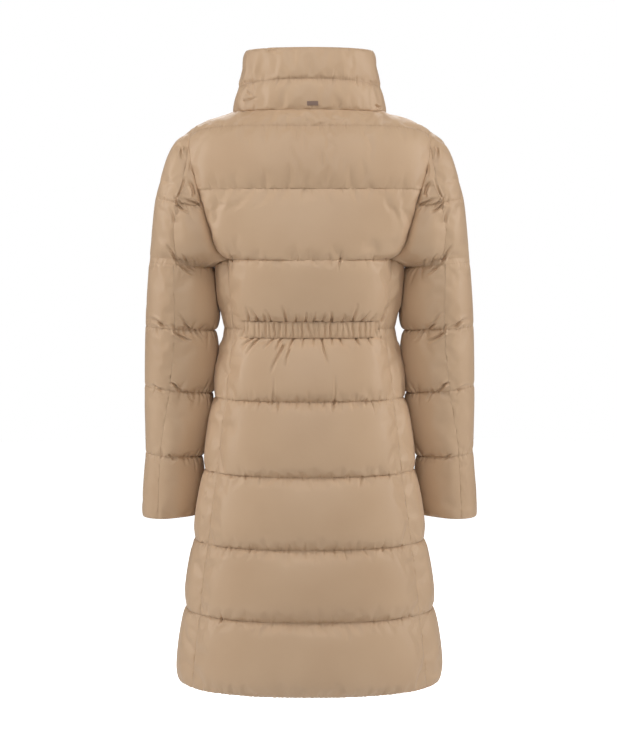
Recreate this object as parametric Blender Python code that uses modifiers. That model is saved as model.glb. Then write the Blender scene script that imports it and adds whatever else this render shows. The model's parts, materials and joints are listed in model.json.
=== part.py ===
"""Long puffer coat, filled out as if worn, with nobody in it.

Metres, +Z up. The origin is the neck seam at the middle of the back, +X is the wearer's left,
and the fronts meet on the -Y side. The coat is one shared surface of rings, read at any height
from short tables of sections. Each sewn piece takes its own faces of that surface and gives them
a plain inside, an outside raised by the down between the quilting lines, and a rim all round.
"""

import math
from collections import namedtuple

import bmesh
import bpy
from mathutils import Vector

COLLECTION, TOOLS = "long_puffer_coat", "tools"

# Driving sizes
WALL = 0.003            # two layers of cloth pressed together at a sewn line
SEAM_SHIFT = 0.0003     # each piece draws back this far from a seam it shares
CLEAR = 0.0030          # room between the under side of a sleeve and the body
MIRROR = {"left": 1, "right": -1}

# Heights of the sewn lines on the body, from the hem to the yoke line
HEM, THIGH, HIP, LAP, SEAT = -0.993, -0.865, -0.743, -0.620, -0.493
WAIST_LOW, WAIST, WAIST_HIGH = -0.3855, -0.3715, -0.357
CHEST, BLADE, YOKE = -0.252, -0.134, -0.029
PLAIN_LINES = (HEM, THIGH, HIP, LAP, SEAT, WAIST, CHEST, BLADE, YOKE, 0.012)
BANDED_LINES = (HEM, THIGH, HIP, LAP, SEAT, WAIST_LOW, WAIST_HIGH, CHEST, BLADE, YOKE, 0.012)

# Rows of the grid in each channel, as shares of its height
LONG_STEPS = (0.0, 0.14, 0.42, 0.74)
BAND_STEPS = (0.0, 0.5)
ARM_STEPS = (0.0, 0.12, 0.33, 0.54, 0.75, 0.9)
STRIP_ROWS = 4          # rows over the shoulder, between the yoke line and the shoulder seam

# Columns of half the body, from the middle of the back round to the zip
BACK_COLUMNS, SIDE_COLUMNS = 12, 4
NECK_COLUMNS = 7        # of the back's columns, those that end at the neck
FRONT_SHARES = (0.0, 0.09, 0.18, 0.27, 0.36, 0.45, 0.56, 0.67, 0.78, 0.89, 1.0)
SHOULDER_COLUMNS = BACK_COLUMNS - NECK_COLUMNS
SIDE_END = BACK_COLUMNS + SIDE_COLUMNS
BODY_END = SIDE_END + len(FRONT_SHARES) - 1

ZIP_EDGE = 0.006        # each front stops this far from the middle
SEAM_SHARE = 0.88       # the back's side seam, as a share of the half width
ROUNDNESS = 2.4         # 2 is an ellipse, more is squarer
ARMPIT_DIP = 0.008
NECK_DROP = 0.040       # the front of the neck is this much lower than its sides

# Inside of the body at the sewn lines
Body = namedtuple("Body", "level half_width back_depth front_depth")
BODY = (
    Body(HEM, 0.2265, 0.148, 0.144),
    Body(THIGH, 0.2115, 0.141, 0.137),
    Body(HIP, 0.1945, 0.132, 0.128),
    Body(LAP, 0.1760, 0.122, 0.118),
    Body(SEAT, 0.1595, 0.111, 0.108),
    Body(WAIST, 0.1455, 0.093, 0.097),
    Body(CHEST, 0.1540, 0.110, 0.106),
    Body(BLADE, 0.1540, 0.104, 0.100),
    Body(YOKE, 0.1540, 0.092, 0.088),
)

# Edge of the armhole, on the back and on the front
Armhole = namedtuple("Armhole", "level back_x back_y front_x front_y")
ARMHOLE = (
    Armhole(CHEST, 0.1355, 0.063, 0.1355, -0.061),
    Armhole(-0.240, 0.1520, 0.071, 0.1480, -0.069),
    Armhole(-0.200, 0.1680, 0.080, 0.1600, -0.077),
    Armhole(-0.166, 0.1780, 0.080, 0.1680, -0.076),
    Armhole(-0.120, 0.1930, 0.072, 0.1800, -0.067),
    Armhole(-0.075, 0.2030, 0.056, 0.1940, -0.053),
    Armhole(-0.045, 0.2060, 0.038, 0.2020, -0.038),
    Armhole(YOKE, 0.2050, 0.022, 0.2050, -0.028),
)
TIP_DROP = 0.009        # the rows under the shoulder tip bend down this much at the armhole
SHOULDER_TIP = Vector((0.205, -0.005, -0.035))
NECK_SIDE = Vector((0.129, 0.0, -0.002))
NECK_BACK_DEPTH, NECK_FRONT_DEPTH = 0.080, 0.074

# Inside of the hanging sleeve at its sewn lines
Sleeve = namedtuple("Sleeve", "level centre_x centre_y half_width half_depth seam_deg tilt")
SLEEVE = (
    Sleeve(-0.710, 0.2510, -0.042, 0.0430, 0.050, 72, 0.000),
    Sleeve(-0.598, 0.2410, -0.033, 0.0445, 0.054, 68, 0.004),
    Sleeve(-0.481, 0.2301, -0.020, 0.0541, 0.061, 79, 0.007),
    Sleeve(-0.373, 0.2257, -0.010, 0.0552, 0.066, 84, 0.004),
    Sleeve(-0.262, 0.2213, -0.004, 0.0518, 0.068, 80, 0.004),
)
SLEEVE_ROUNDNESS = 2.2
FRONT_SEAM_DEG = -95
ARMPIT_DEG = 138        # the armpit lies between this angle and its mirror image

# Outside edge and back seam of the sleeve head, above the armpit
Head = namedtuple("Head", "level outer_x seam_x")
HEAD = (
    Head(-0.262, 0.2730, 0.2250),
    Head(-0.200, 0.2665, 0.2290),
    Head(-0.150, 0.2605, 0.2230),
    Head(-0.100, 0.2475, 0.2140),
    Head(-0.075, 0.2400, 0.2080),
    Head(-0.053, 0.2290, 0.2060),
    Head(-0.0385, 0.2165, 0.2060),
    Head(YOKE, 0.2050, 0.2050),
)
HEAD_ROUNDNESS = 2.8
HEAD_MIDDLE = -0.004    # depth of the outside edge
HEAD_BOW = 0.008        # the back and front of the sleeve head swell this much
HEAD_RISE = 0.014       # sewn lines climb this much from the armhole to the outside of the arm
HEAD_START = 0.003      # and this much even at the armpit
HEAD_COLUMN_DEG = 20    # turn from one column of the sleeve head to the next
LINE_MARGIN = 0.002     # the head's first and last sewn lines lie this far past its edge
SLEEVE_LINES = tuple(row.level for row in SLEEVE)
BICEP_LINE = CHEST + 0.75 * (BLADE - CHEST)     # sewn line across the sleeve head
SLEEVE_FREE = -0.268    # below this height a sleeve hangs clear of the body

# Columns round a sleeve, from its back seam over the outside and back along the inside
UPPER_COLUMNS, HORN_COLUMNS = 8, 3
FRONT_HORN = UPPER_COLUMNS + HORN_COLUMNS
BACK_HORN = FRONT_HORN + SIDE_COLUMNS
RING_COLUMNS = BACK_HORN + HORN_COLUMNS
SEAM_TIP_ROW = 10       # row of the armhole where the sleeve's own seams end

# Stand collar, inside
Collar = namedtuple("Collar", "share half_width back_depth front_depth back_z front_z")
COLLAR = (
    Collar(0.00, NECK_SIDE.x, 0.080, 0.074, 0.000, -0.040),
    Collar(0.50, 0.1190, 0.077, 0.076, 0.052, 0.024),
    Collar(1.00, 0.1070, 0.074, 0.077, 0.1050, 0.090),
)
COLLAR_STEPS = (0.0, 0.2, 0.36, 0.5, 0.6, 0.78, 1.0)

# Down between the sewn lines: how far the outside stands off at the fullest point
FILL_BACK, FILL_SIDE, FILL_YOKE, FILL_COLLAR = 0.019, 0.009, 0.007, 0.005
FILL_ARM_OUT, FILL_ARM_IN = 0.004, 0.011
SEAM_FADE = 0.032       # the down thins out over this distance from an upright seam
SEAM_FILL = 0.30        # share of the down that is left at an upright seam
ARM_FADE, ARM_SEAM_FILL = 0.025, 0.45       # the same on a sleeve
SAG, FULLNESS = 0.85, 0.75      # the down hangs low in each channel, and fills it this squarely

# Gathers
BAND_COLUMNS = 10       # columns each side of the middle that the waist casing covers
BAND_GATHERS = 20
BAND_POINTS = 4         # points a gather
BAND_THICK, BAND_RIDGE = 0.0022, 0.0030
BAND_EDGE = 0.35        # share of a gather's ridge that is left at the casing's edges
LIFT = 0.0005           # room between a piece and what it lies on
GATHER_REACH, GATHER_DEPTH = 0.045, 0.0022
FURROW = 0.6            # depth of a furrow, as a share of a ridge's height

# Zip
TAPE_IN, TAPE_OUT, TAPE_THICK = 0.0008, 0.0175, 0.0010
SLIDER_LEVEL = 0.058
SLIDER_SIZE, SLIDER_BEVEL = Vector((0.0084, 0.0042, 0.0105)), 0.0008
BRIDGE_LONG, BRIDGE_HIGH, BRIDGE_THICK, BRIDGE_WIDE = 0.0042, 0.0041, 0.0011, 0.0022
BAR_OUT = 0.0015        # the pull tab's axis stands this far off the slider's face
TAB_SIZE, TAB_BEVEL = Vector((0.0076, 0.0014, 0.0340)), 0.0003
TAB_WINDOW = Vector((0.0044, 0.0100, 0.0070))

# Plate on the collar
PLATE_SIZE, PLATE_BEVEL = Vector((0.0190, 0.0012, 0.0076)), 0.0004
PLATE_X, PLATE_LEVEL = -0.005, 0.0105

PIECE_COLOURS = {
    "cloth": (0.50, 0.34, 0.22, 1.0),
    "tape": (0.42, 0.28, 0.18, 1.0),
    "metal": (0.16, 0.14, 0.13, 1.0),
}


# ---------------------------------------------------------------- reading the tables
def read(table, column, level, key="level"):
    """Value of a column at any level: straight between rows of equal slope, smooth elsewhere."""
    rows = sorted(table, key=lambda row: getattr(row, key))
    at = [getattr(row, key) for row in rows]
    value = [getattr(row, column) for row in rows]
    level = min(max(level, at[0]), at[-1])
    slopes = [(value[i + 1] - value[i]) / (at[i + 1] - at[i]) for i in range(len(at) - 1)]
    tangents = [slopes[0]]
    for before, after in zip(slopes, slopes[1:]):
        same_way = before * after > 0
        tangents.append(2 * before * after / (before + after) if same_way else 0.0)
    tangents.append(slopes[-1])
    i = max(k for k in range(len(at) - 1) if at[k] <= level)
    step = at[i + 1] - at[i]
    t = (level - at[i]) / step
    return (value[i] * (2 * t**3 - 3 * t**2 + 1) + tangents[i] * step * (t**3 - 2 * t**2 + t)
            + value[i + 1] * (3 * t**2 - 2 * t**3) + tangents[i + 1] * step * (t**3 - t**2))


def depth_at(x, half_width, depth):
    """Depth of a squarish oval at x."""
    share = min(abs(x) / half_width, 1.0)
    return depth * (1.0 - share**ROUNDNESS) ** (1.0 / ROUNDNESS)


def oval(angle, half_width, depth, roundness):
    """Point of a squarish oval: angle 0 is +X, a quarter turn is the full depth."""
    across = math.copysign(abs(math.cos(angle)) ** (2 / roundness), math.cos(angle))
    along = math.copysign(abs(math.sin(angle)) ** (2 / roundness), math.sin(angle))
    return half_width * across, depth * along


def bulge(level, lines):
    """Share of the down at a level: none on the sewn lines, most below the middle of a channel."""
    for low, high in zip(lines, lines[1:]):
        if low <= level <= high:
            share = (level - low) / (high - low)
            return max(math.sin(math.pi * share**SAG), 0.0) ** FULLNESS
    return 0.0


def fade(distance, reach=SEAM_FADE, least=SEAM_FILL):
    """Thinning of the down towards a seam."""
    share = min(distance / reach, 1.0)
    return least + (1.0 - least) * math.sin(share * math.pi / 2)


# ---------------------------------------------------------------- rows of the body
def body_levels():
    """Heights of the rows of the body, from the hem to the yoke line."""
    channels = [
        (HEM, THIGH, LONG_STEPS), (THIGH, HIP, LONG_STEPS), (HIP, LAP, LONG_STEPS),
        (LAP, SEAT, LONG_STEPS), (SEAT, WAIST_LOW, LONG_STEPS),
        (WAIST_LOW, WAIST_HIGH, BAND_STEPS), (WAIST_HIGH, CHEST, LONG_STEPS),
        (CHEST, BLADE, ARM_STEPS), (BLADE, YOKE, ARM_STEPS),
    ]
    levels = [low + (high - low) * step for low, high, steps in channels for step in steps]
    return levels + [YOKE]


LEVELS = body_levels()
ARMPIT_ROW = LEVELS.index(CHEST)
YOKE_ROW = len(LEVELS) - 1
TOP_ROW = YOKE_ROW + STRIP_ROWS


def side_seam(level):
    """Where the back's side seam runs below the armpit."""
    half_width = read(BODY, "half_width", level)
    x = SEAM_SHARE * half_width
    return x, depth_at(x, half_width, read(BODY, "back_depth", level))


def front_line(level):
    """The line under the front of the armhole, where side and front columns meet."""
    half_width = read(BODY, "half_width", level)
    x = SEAM_SHARE * half_width
    return x, -depth_at(x, half_width, read(BODY, "front_depth", level))


def oval_through(x, y, depth):
    """Half width of the oval of this depth that passes through a point."""
    return x / (1.0 - (abs(y) / depth) ** ROUNDNESS) ** (1.0 / ROUNDNESS)


def back_edge(level):
    if level <= CHEST:
        return side_seam(level)
    return read(ARMHOLE, "back_x", level), read(ARMHOLE, "back_y", level)


def front_edge(level):
    if level <= CHEST:
        return front_line(level)
    return read(ARMHOLE, "front_x", level), read(ARMHOLE, "front_y", level)


def neck_point(angle):
    """Neck seam: 0 is the middle of the back, a quarter turn the side, a half turn the front."""
    depth = NECK_BACK_DEPTH if math.cos(angle) > 0 else NECK_FRONT_DEPTH
    end_z = 0.0 if math.cos(angle) > 0 else -NECK_DROP
    z = NECK_SIDE.z + (end_z - NECK_SIDE.z) * math.cos(angle) ** 2
    return Vector((NECK_SIDE.x * math.sin(angle), depth * math.cos(angle), z))


def neck_angle(column):
    """Angle of the neck seam at a column of the body."""
    if column <= NECK_COLUMNS:
        return math.pi / 2 * column / NECK_COLUMNS
    last = math.pi - math.asin(ZIP_EDGE / NECK_SIDE.x)
    share = (column - SIDE_END - SHOULDER_COLUMNS) / (BODY_END - SIDE_END - SHOULDER_COLUMNS)
    return math.pi / 2 + (last - math.pi / 2) * share


def top_point(column):
    """Neck seam or shoulder seam above a column of the back or the front."""
    if column <= NECK_COLUMNS or column >= SIDE_END + SHOULDER_COLUMNS:
        return neck_point(neck_angle(column))
    if column <= BACK_COLUMNS:
        share = (column - NECK_COLUMNS) / SHOULDER_COLUMNS
    else:
        share = 1.0 - (column - SIDE_END) / SHOULDER_COLUMNS
    return NECK_SIDE.lerp(SHOULDER_TIP, share)


def edge_drop(level):
    """How far a row bends down by the time it reaches the armhole."""
    return TIP_DROP * (max(level - BLADE, 0.0) / (YOKE - BLADE)) ** 2


def body_point(row, column):
    """Point of the wearer's left half of the body's inside."""
    level = LEVELS[min(row, YOKE_ROW)]
    if column <= BACK_COLUMNS:
        x_edge, y_edge = back_edge(level)
        depth = read(BODY, "back_depth", level)
        x = x_edge * column / BACK_COLUMNS
        y = depth_at(x, oval_through(x_edge, y_edge, depth), depth)
        point = Vector((x, y, level - edge_drop(level) * (column / BACK_COLUMNS) ** 5))
    elif column < SIDE_END:
        point = side_point(level, column - BACK_COLUMNS)
    else:
        x_edge, y_edge = front_edge(level)
        depth = read(BODY, "front_depth", level)
        share = FRONT_SHARES[column - SIDE_END]
        x = x_edge + (ZIP_EDGE - x_edge) * share
        y = -depth_at(x, oval_through(x_edge, y_edge, depth), depth)
        rise = max(level - BLADE, 0.0) / (YOKE - BLADE)
        drop = NECK_DROP * rise * share**1.5 + edge_drop(level) * (1.0 - share) ** 5
        point = Vector((x, y, level - drop))
    if row > YOKE_ROW:
        share = (row - YOKE_ROW) / STRIP_ROWS
        low, top = point, top_point(column)
        arch = (math.sin(share * math.pi / 2) - share) * shoulder_arch(column)
        point = low.lerp(top, share)
        point.z += (top.z - low.z) * arch
    return point


def shoulder_arch(column):
    """How much the strip over the shoulder is arched: fully on top, not at all at front or back."""
    if column <= NECK_COLUMNS or column >= SIDE_END + SHOULDER_COLUMNS:
        return math.sin(neck_angle(column)) ** 5
    return 1.0


def side_point(level, step):
    """Point under the arm, between the side seam and the front line."""
    half_width = read(BODY, "half_width", level)
    start = math.acos(SEAM_SHARE ** (ROUNDNESS / 2))
    angle = start * (1.0 - 2.0 * step / SIDE_COLUMNS)
    depth = read(BODY, "back_depth" if angle > 0 else "front_depth", level)
    x, y = oval(angle, half_width, depth, ROUNDNESS)
    dip = ARMPIT_DIP * math.sin(math.pi * step / SIDE_COLUMNS) if level == CHEST else 0.0
    return Vector((x, y, level - dip))


def body_fill(row, column, point):
    """Height of the body's outside over its inside."""
    level = LEVELS[min(row, YOKE_ROW)]
    if row > YOKE_ROW:
        share = (row - YOKE_ROW) / STRIP_ROWS
        from_arm = (point - SHOULDER_TIP).length
        return WALL + FILL_YOKE * math.sin(math.pi * share) * fade(from_arm)
    on_back = column <= BACK_COLUMNS
    banded = on_back and column <= BAND_COLUMNS
    lines = BANDED_LINES if banded else PLAIN_LINES
    if banded and WAIST_LOW <= level <= WAIST_HIGH:
        return WALL
    side = min(abs(point.x) / read(BODY, "half_width", level), 1.0)
    full = FILL_SIDE + (FILL_BACK - FILL_SIDE) * (1.0 - side**2)
    x_edge = back_edge(level)[0] if on_back else front_edge(level)[0]
    from_seam = abs(point.x - x_edge)
    if BACK_COLUMNS < column < SIDE_END:
        from_seam = (point - body_point(row, BACK_COLUMNS)).length
    elif not on_back and level <= CHEST:
        from_seam = SEAM_FADE
    thin = fade(from_seam)
    if column >= SIDE_END:
        thin *= fade(abs(point.x) - ZIP_EDGE)
    height = WALL + full * bulge(level, lines) * thin
    if banded and height > WALL:
        height += gather(level, column)
    return height


def gather(level, column):
    """Ridges and furrows that run up and down from the waist casing."""
    off = WAIST_LOW - level if level < WAIST else level - WAIST_HIGH
    strength = max(1.0 - off / GATHER_REACH, 0.0)
    return GATHER_DEPTH * strength * (1 if column % 2 else -FURROW)


# ---------------------------------------------------------------- rows of the sleeve
def sleeve_levels():
    """Heights of the sleeve's own rows, from the cuff to just under the armpit."""
    channels = zip(SLEEVE_LINES, SLEEVE_LINES[1:])
    levels = [low + (high - low) * step for low, high in channels for step in LONG_STEPS]
    return levels + [SLEEVE_LINES[-1]]


SLEEVE_LEVELS = sleeve_levels()
RING_ROWS = len(SLEEVE_LEVELS)


def ring_angle(column, level):
    """Angle round a sleeve: 0 is outside, a quarter turn is its back."""
    seam = read(SLEEVE, "seam_deg", level)
    stops = ((0, seam), (UPPER_COLUMNS // 2, 0.0), (UPPER_COLUMNS, FRONT_SEAM_DEG),
             (FRONT_HORN, -ARMPIT_DEG), (BACK_HORN, ARMPIT_DEG - 360), (RING_COLUMNS, seam - 360))
    for (first, start), (last, end) in zip(stops, stops[1:]):
        if first <= column <= last:
            return math.radians(start + (end - start) * (column - first) / (last - first))
    return 0.0


def ring_point(row, column):
    """Point of the left sleeve's inside below the armpit."""
    level = SLEEVE_LEVELS[row]
    angle = ring_angle(column, level)
    x, y = oval(angle, read(SLEEVE, "half_width", level), read(SLEEVE, "half_depth", level),
                SLEEVE_ROUNDNESS)
    z = level + read(SLEEVE, "tilt", level) * math.cos(angle)
    return Vector((read(SLEEVE, "centre_x", level) + x, read(SLEEVE, "centre_y", level) + y, z))


def head_point(step, column):
    """Point of the left sleeve's inside beside the armhole, step rows above the armpit's."""
    row = ARMPIT_ROW + step
    level = LEVELS[row]
    rise = HEAD_RISE * math.sin(math.pi * (level - CHEST) / (YOKE - CHEST)) + HEAD_START
    rise *= 0.0 if row == YOKE_ROW else 1.0
    outer = read(HEAD, "outer_x", level + rise)
    on_back = column <= UPPER_COLUMNS // 2 or column >= BACK_HORN
    x_edge, y_edge = back_edge(level) if on_back else front_edge(level)
    x_seam = min(max(read(HEAD, "seam_x", level + rise), x_edge), outer)
    seam = math.asin(min((x_seam - x_edge) / (outer - x_edge), 1.0) ** (HEAD_ROUNDNESS / 2))
    middle = UPPER_COLUMNS // 2
    if column <= middle:
        turn = seam + (math.pi / 2 - seam) * column / middle
    elif column <= UPPER_COLUMNS:
        turn = math.pi / 2 + (seam - math.pi / 2) * (column - middle) / middle
    elif on_back:
        turn = seam * (column - BACK_HORN) / HORN_COLUMNS
    else:
        turn = seam * (FRONT_HORN - column) / HORN_COLUMNS
    across, along = math.sin(turn), math.cos(turn)
    power = 2 / HEAD_ROUNDNESS
    swell = math.copysign(HEAD_BOW * across * along * (1.0 - step / SEAM_TIP_ROW), y_edge)
    if step > SEAM_TIP_ROW:
        swell = 0.0
    return Vector((x_edge + (outer - x_edge) * across**power,
                   HEAD_MIDDLE + (y_edge - HEAD_MIDDLE) * along**power + swell,
                   level - edge_drop(level) + (rise + edge_drop(level) * 0.5) * across))


def sleeve_fill(level, angle, lines, from_seam):
    """Height of a sleeve's outside over its inside."""
    inward = (1.0 - math.cos(angle)) / 2
    full = FILL_ARM_OUT + (FILL_ARM_IN - FILL_ARM_OUT) * min(inward * 1.6, 1.0)
    return WALL + full * bulge(level, lines) * fade(from_seam, ARM_FADE, ARM_SEAM_FILL)


# ---------------------------------------------------------------- the shared surface
class Surface:
    """Named points with a fill height each, and faces that belong to pieces."""

    def __init__(self):
        self.points = {}
        self.fills = {}
        self.pieces = {}

    def add(self, key, point, fill):
        if key not in self.points:
            self.points[key] = point
            self.fills[key] = fill

    def face(self, piece, keys):
        corners = [key for i, key in enumerate(keys) if key != keys[i - 1]]
        if len(set(corners)) >= 3:
            self.pieces.setdefault(piece, []).append(tuple(corners))

    def normals(self):
        """Mean outward direction at each point, over all pieces that meet there."""
        total = {key: Vector() for key in self.points}
        for faces in self.pieces.values():
            for keys in faces:
                corner = [self.points[key] for key in keys]
                across = corner[2] - corner[0]
                along = corner[3] - corner[1] if len(keys) == 4 else corner[2] - corner[1]
                normal = across.cross(along).normalized()
                for key in keys:
                    total[key] += normal
        return {key: normal.normalized() for key, normal in total.items() if normal.length > 0}


def flipped(point, side):
    return Vector((point.x * side, point.y, point.z))


def body_key(side, row, column):
    """Name of a point of the body; the middle of the back belongs to both sides."""
    return ("body", 0 if column == 0 else side, row, column)


def tip_key(side, row, column):
    """Name of a body point, with the shoulder seam shared by the back and the fronts."""
    if row == TOP_ROW and SIDE_END <= column <= SIDE_END + SHOULDER_COLUMNS:
        return body_key(side, row, BACK_COLUMNS - (column - SIDE_END))
    return body_key(side, row, column)


def add_body(surface, side, name):
    """One half of the back, and one front."""
    for row in range(TOP_ROW + 1):
        for column in range(BODY_END + 1):
            if row > ARMPIT_ROW and BACK_COLUMNS < column < SIDE_END:
                continue
            point = body_point(row, column)
            key = tip_key(side, row, column)
            surface.add(key, flipped(point, side), body_fill(row, column, point))
    for row in range(TOP_ROW):
        for column in range(BODY_END):
            if row >= ARMPIT_ROW and BACK_COLUMNS <= column < SIDE_END:
                continue
            corners = [tip_key(side, row, column), tip_key(side, row + 1, column),
                       tip_key(side, row + 1, column + 1), tip_key(side, row, column + 1)]
            piece = "back" if column < BACK_COLUMNS else "front_" + name
            surface.face(piece, corners[::side])


def sleeve_key(side, row, column):
    """Name of a sleeve point; points on the armhole are the body's own."""
    column %= RING_COLUMNS
    step = row - RING_ROWS
    if step < 0:
        return ("sleeve", side, row, column)
    body_row = ARMPIT_ROW + step
    if FRONT_HORN <= column <= BACK_HORN:
        return tip_key(side, body_row, SIDE_END - (column - FRONT_HORN))
    if step >= SEAM_TIP_ROW and (column == 0 or column > BACK_HORN):
        return tip_key(side, body_row, BACK_COLUMNS)
    if step >= SEAM_TIP_ROW and UPPER_COLUMNS <= column < FRONT_HORN:
        return tip_key(side, body_row, SIDE_END)
    if body_row == YOKE_ROW:
        if column <= STRIP_ROWS:
            return tip_key(side, YOKE_ROW + column, BACK_COLUMNS)
        return tip_key(side, YOKE_ROW + UPPER_COLUMNS - column, SIDE_END)
    return ("sleeve", side, row, column)


def add_sleeve(surface, side, name):
    """The upper and the under part of one sleeve."""
    last_row = RING_ROWS + YOKE_ROW - ARMPIT_ROW
    head_lines = (CHEST - LINE_MARGIN, BICEP_LINE, YOKE + LINE_MARGIN)
    for row in range(last_row + 1):
        step = row - RING_ROWS
        for column in range(RING_COLUMNS):
            key = sleeve_key(side, row, column)
            if key[0] == "body":
                continue
            if step < 0:
                point = ring_point(row, column)
                level = SLEEVE_LEVELS[row]
                angle = ring_angle(column, level)
                lines = SLEEVE_LINES
                from_seam = seam_distance(row, column, ring_point)
            else:
                point = head_point(step, column)
                level = LEVELS[ARMPIT_ROW + step]
                angle = math.radians(abs(column - UPPER_COLUMNS // 2) * HEAD_COLUMN_DEG)
                lines = head_lines
                from_seam = seam_distance(step, column, head_point)
            fill = sleeve_fill(level, angle, lines, from_seam)
            surface.add(key, flipped(point, side), fill)
    for row in range(last_row):
        step = row - RING_ROWS
        for column in range(RING_COLUMNS):
            if step >= 0 and FRONT_HORN <= column < BACK_HORN:
                continue
            corners = [sleeve_key(side, row, column), sleeve_key(side, row + 1, column),
                       sleeve_key(side, row + 1, column + 1), sleeve_key(side, row, column + 1)]
            part = "sleeve_upper_" if column < UPPER_COLUMNS else "sleeve_under_"
            surface.face(part + name, corners[::side])


def seam_distance(row, column, place):
    """Distance along a row from a sleeve point to the nearer of the sleeve's seams."""
    here = place(row, column)
    return min((here - place(row, 0)).length, (here - place(row, UPPER_COLUMNS)).length)


def collar_key(side, row, column):
    if row == 0:
        return tip_key(side, TOP_ROW, column)
    return ("collar", 0 if column == 0 else side, row, column)


def add_collar(surface, side):
    """One half of the stand collar."""
    columns = list(range(NECK_COLUMNS + 1)) + list(range(SIDE_END + SHOULDER_COLUMNS + 1,
                                                         BODY_END + 1))
    for row, share in enumerate(COLLAR_STEPS):
        half_width = read(COLLAR, "half_width", share, "share")
        for column in columns:
            if row == 0:
                continue
            angle = neck_angle(column)
            back = math.cos(angle) > 0
            depth = read(COLLAR, "back_depth" if back else "front_depth", share, "share")
            back_z = read(COLLAR, "back_z", share, "share")
            front_z = read(COLLAR, "front_z", share, "share")
            side_z = back_z + NECK_SIDE.z * (1.0 - share)
            end_z = back_z if back else front_z
            z = side_z + (end_z - side_z) * math.cos(angle) ** 2
            point = Vector((half_width * math.sin(angle), depth * math.cos(angle), z))
            fill = WALL + FILL_COLLAR * bulge(share, (0.0, 0.5, 1.0)) * (
                0.5 + 0.5 * math.cos(angle) ** 2) * fade(abs(point.x) if not back else 1.0)
            surface.add(collar_key(side, row, column), flipped(point, side), fill)
    for row in range(len(COLLAR_STEPS) - 1):
        for first, last in zip(columns, columns[1:]):
            corners = [collar_key(side, row, first), collar_key(side, row + 1, first),
                       collar_key(side, row + 1, last), collar_key(side, row, last)]
            surface.face("collar", corners[::side])


# ---------------------------------------------------------------- pieces from the surface
def outside_points(surface):
    """Outer point over each inner point, with the sleeves held clear of the body."""
    normals = surface.normals()
    outer = {key: surface.points[key] + normal * surface.fills[key]
             for key, normal in normals.items()}
    for key, point in outer.items():
        if key[0] != "sleeve" or point.z > SLEEVE_FREE:
            continue
        least = body_half_width_at(point) + CLEAR
        if abs(point.x) < least:
            point.x = math.copysign(least, point.x)
    return outer


def body_half_width_at(point):
    """Half width of the body's outside at a point's height and depth."""
    level = point.z
    stand_off = WALL + FILL_SIDE * bulge(level, PLAIN_LINES)
    side = "back_depth" if point.y > 0 else "front_depth"
    depth = read(BODY, side, level) + stand_off
    half_width = read(BODY, "half_width", level) + stand_off
    share = min(abs(point.y) / depth, 1.0)
    return half_width * (1.0 - share**ROUNDNESS) ** (1.0 / ROUNDNESS)


def shared_keys(surface):
    """Points on a seam: those that belong to two pieces or more."""
    owners = {}
    for piece, faces in surface.pieces.items():
        for keys in faces:
            for key in keys:
                owners.setdefault(key, set()).add(piece)
    return {key for key, pieces in owners.items() if len(pieces) > 1}


def draw_back(surface, faces, seams):
    """Small move of each seam point of a piece, square to the seam and into the piece."""
    edge_of = set(border(faces))
    moves = {}
    for keys in faces:
        centre = sum((surface.points[key] for key in keys), Vector()) / len(keys)
        for first, last in zip(keys, keys[1:] + keys[:1]):
            if first in seams and last in seams and (first, last) in edge_of:
                start = surface.points[first]
                along = (surface.points[last] - start).normalized()
                inward = centre - start
                inward = (inward - along * inward.dot(along)).normalized()
                for key in (first, last):
                    moves[key] = moves.get(key, Vector()) + inward
    return {key: move.normalized() * SEAM_SHIFT for key, move in moves.items()}


def border(faces):
    """Directed edges that only one face uses, in the order that face uses them."""
    edges = {(keys[i - 1], keys[i]) for keys in faces for i in range(len(keys))}
    return sorted(edge for edge in edges if (edge[1], edge[0]) not in edges)


def split(keys, outer):
    """A face with four corners as two triangles, along its shorter diagonal."""
    if len(keys) == 3:
        return [keys]
    a, b, c, d = keys
    if (outer[a] - outer[c]).length <= (outer[b] - outer[d]).length:
        return [(a, b, c), (a, c, d)]
    return [(a, b, d), (b, c, d)]


def build_wall(name, faces, inner, outer, finish="cloth"):
    """Closed wall of one piece: outside, inside and a rim along its border."""
    work = bmesh.new()
    keys_used = {key: None for keys in faces for key in keys}
    inside = {key: work.verts.new(inner[key]) for key in keys_used}
    outside = {key: work.verts.new(outer[key]) for key in keys_used}
    for keys in (corners for face in faces for corners in split(face, outer)):
        work.faces.new([outside[key] for key in keys])
        work.faces.new([inside[key] for key in reversed(keys)])
    for first, last in border(faces):
        low = min(first, last)
        if first == low:
            work.faces.new((outside[last], outside[first], inside[first]))
            work.faces.new((outside[last], inside[first], inside[last]))
        else:
            work.faces.new((outside[first], inside[last], outside[last]))
            work.faces.new((outside[first], inside[first], inside[last]))
    return finish_mesh(name, work, finish)


def build_panels(surface, outer):
    """Every sewn piece of the shared surface, drawn back a little from its seams."""
    seams = shared_keys(surface)
    for piece, faces in surface.pieces.items():
        moves = draw_back(surface, faces, seams)
        keys_used = {key for keys in faces for key in keys}
        move = {key: moves.get(key, Vector()) for key in keys_used}
        inner_set = {key: surface.points[key] + move[key] for key in keys_used}
        outer_set = {key: outer[key] + move[key] for key in keys_used}
        build_wall(piece, faces, inner_set, outer_set)


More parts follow.
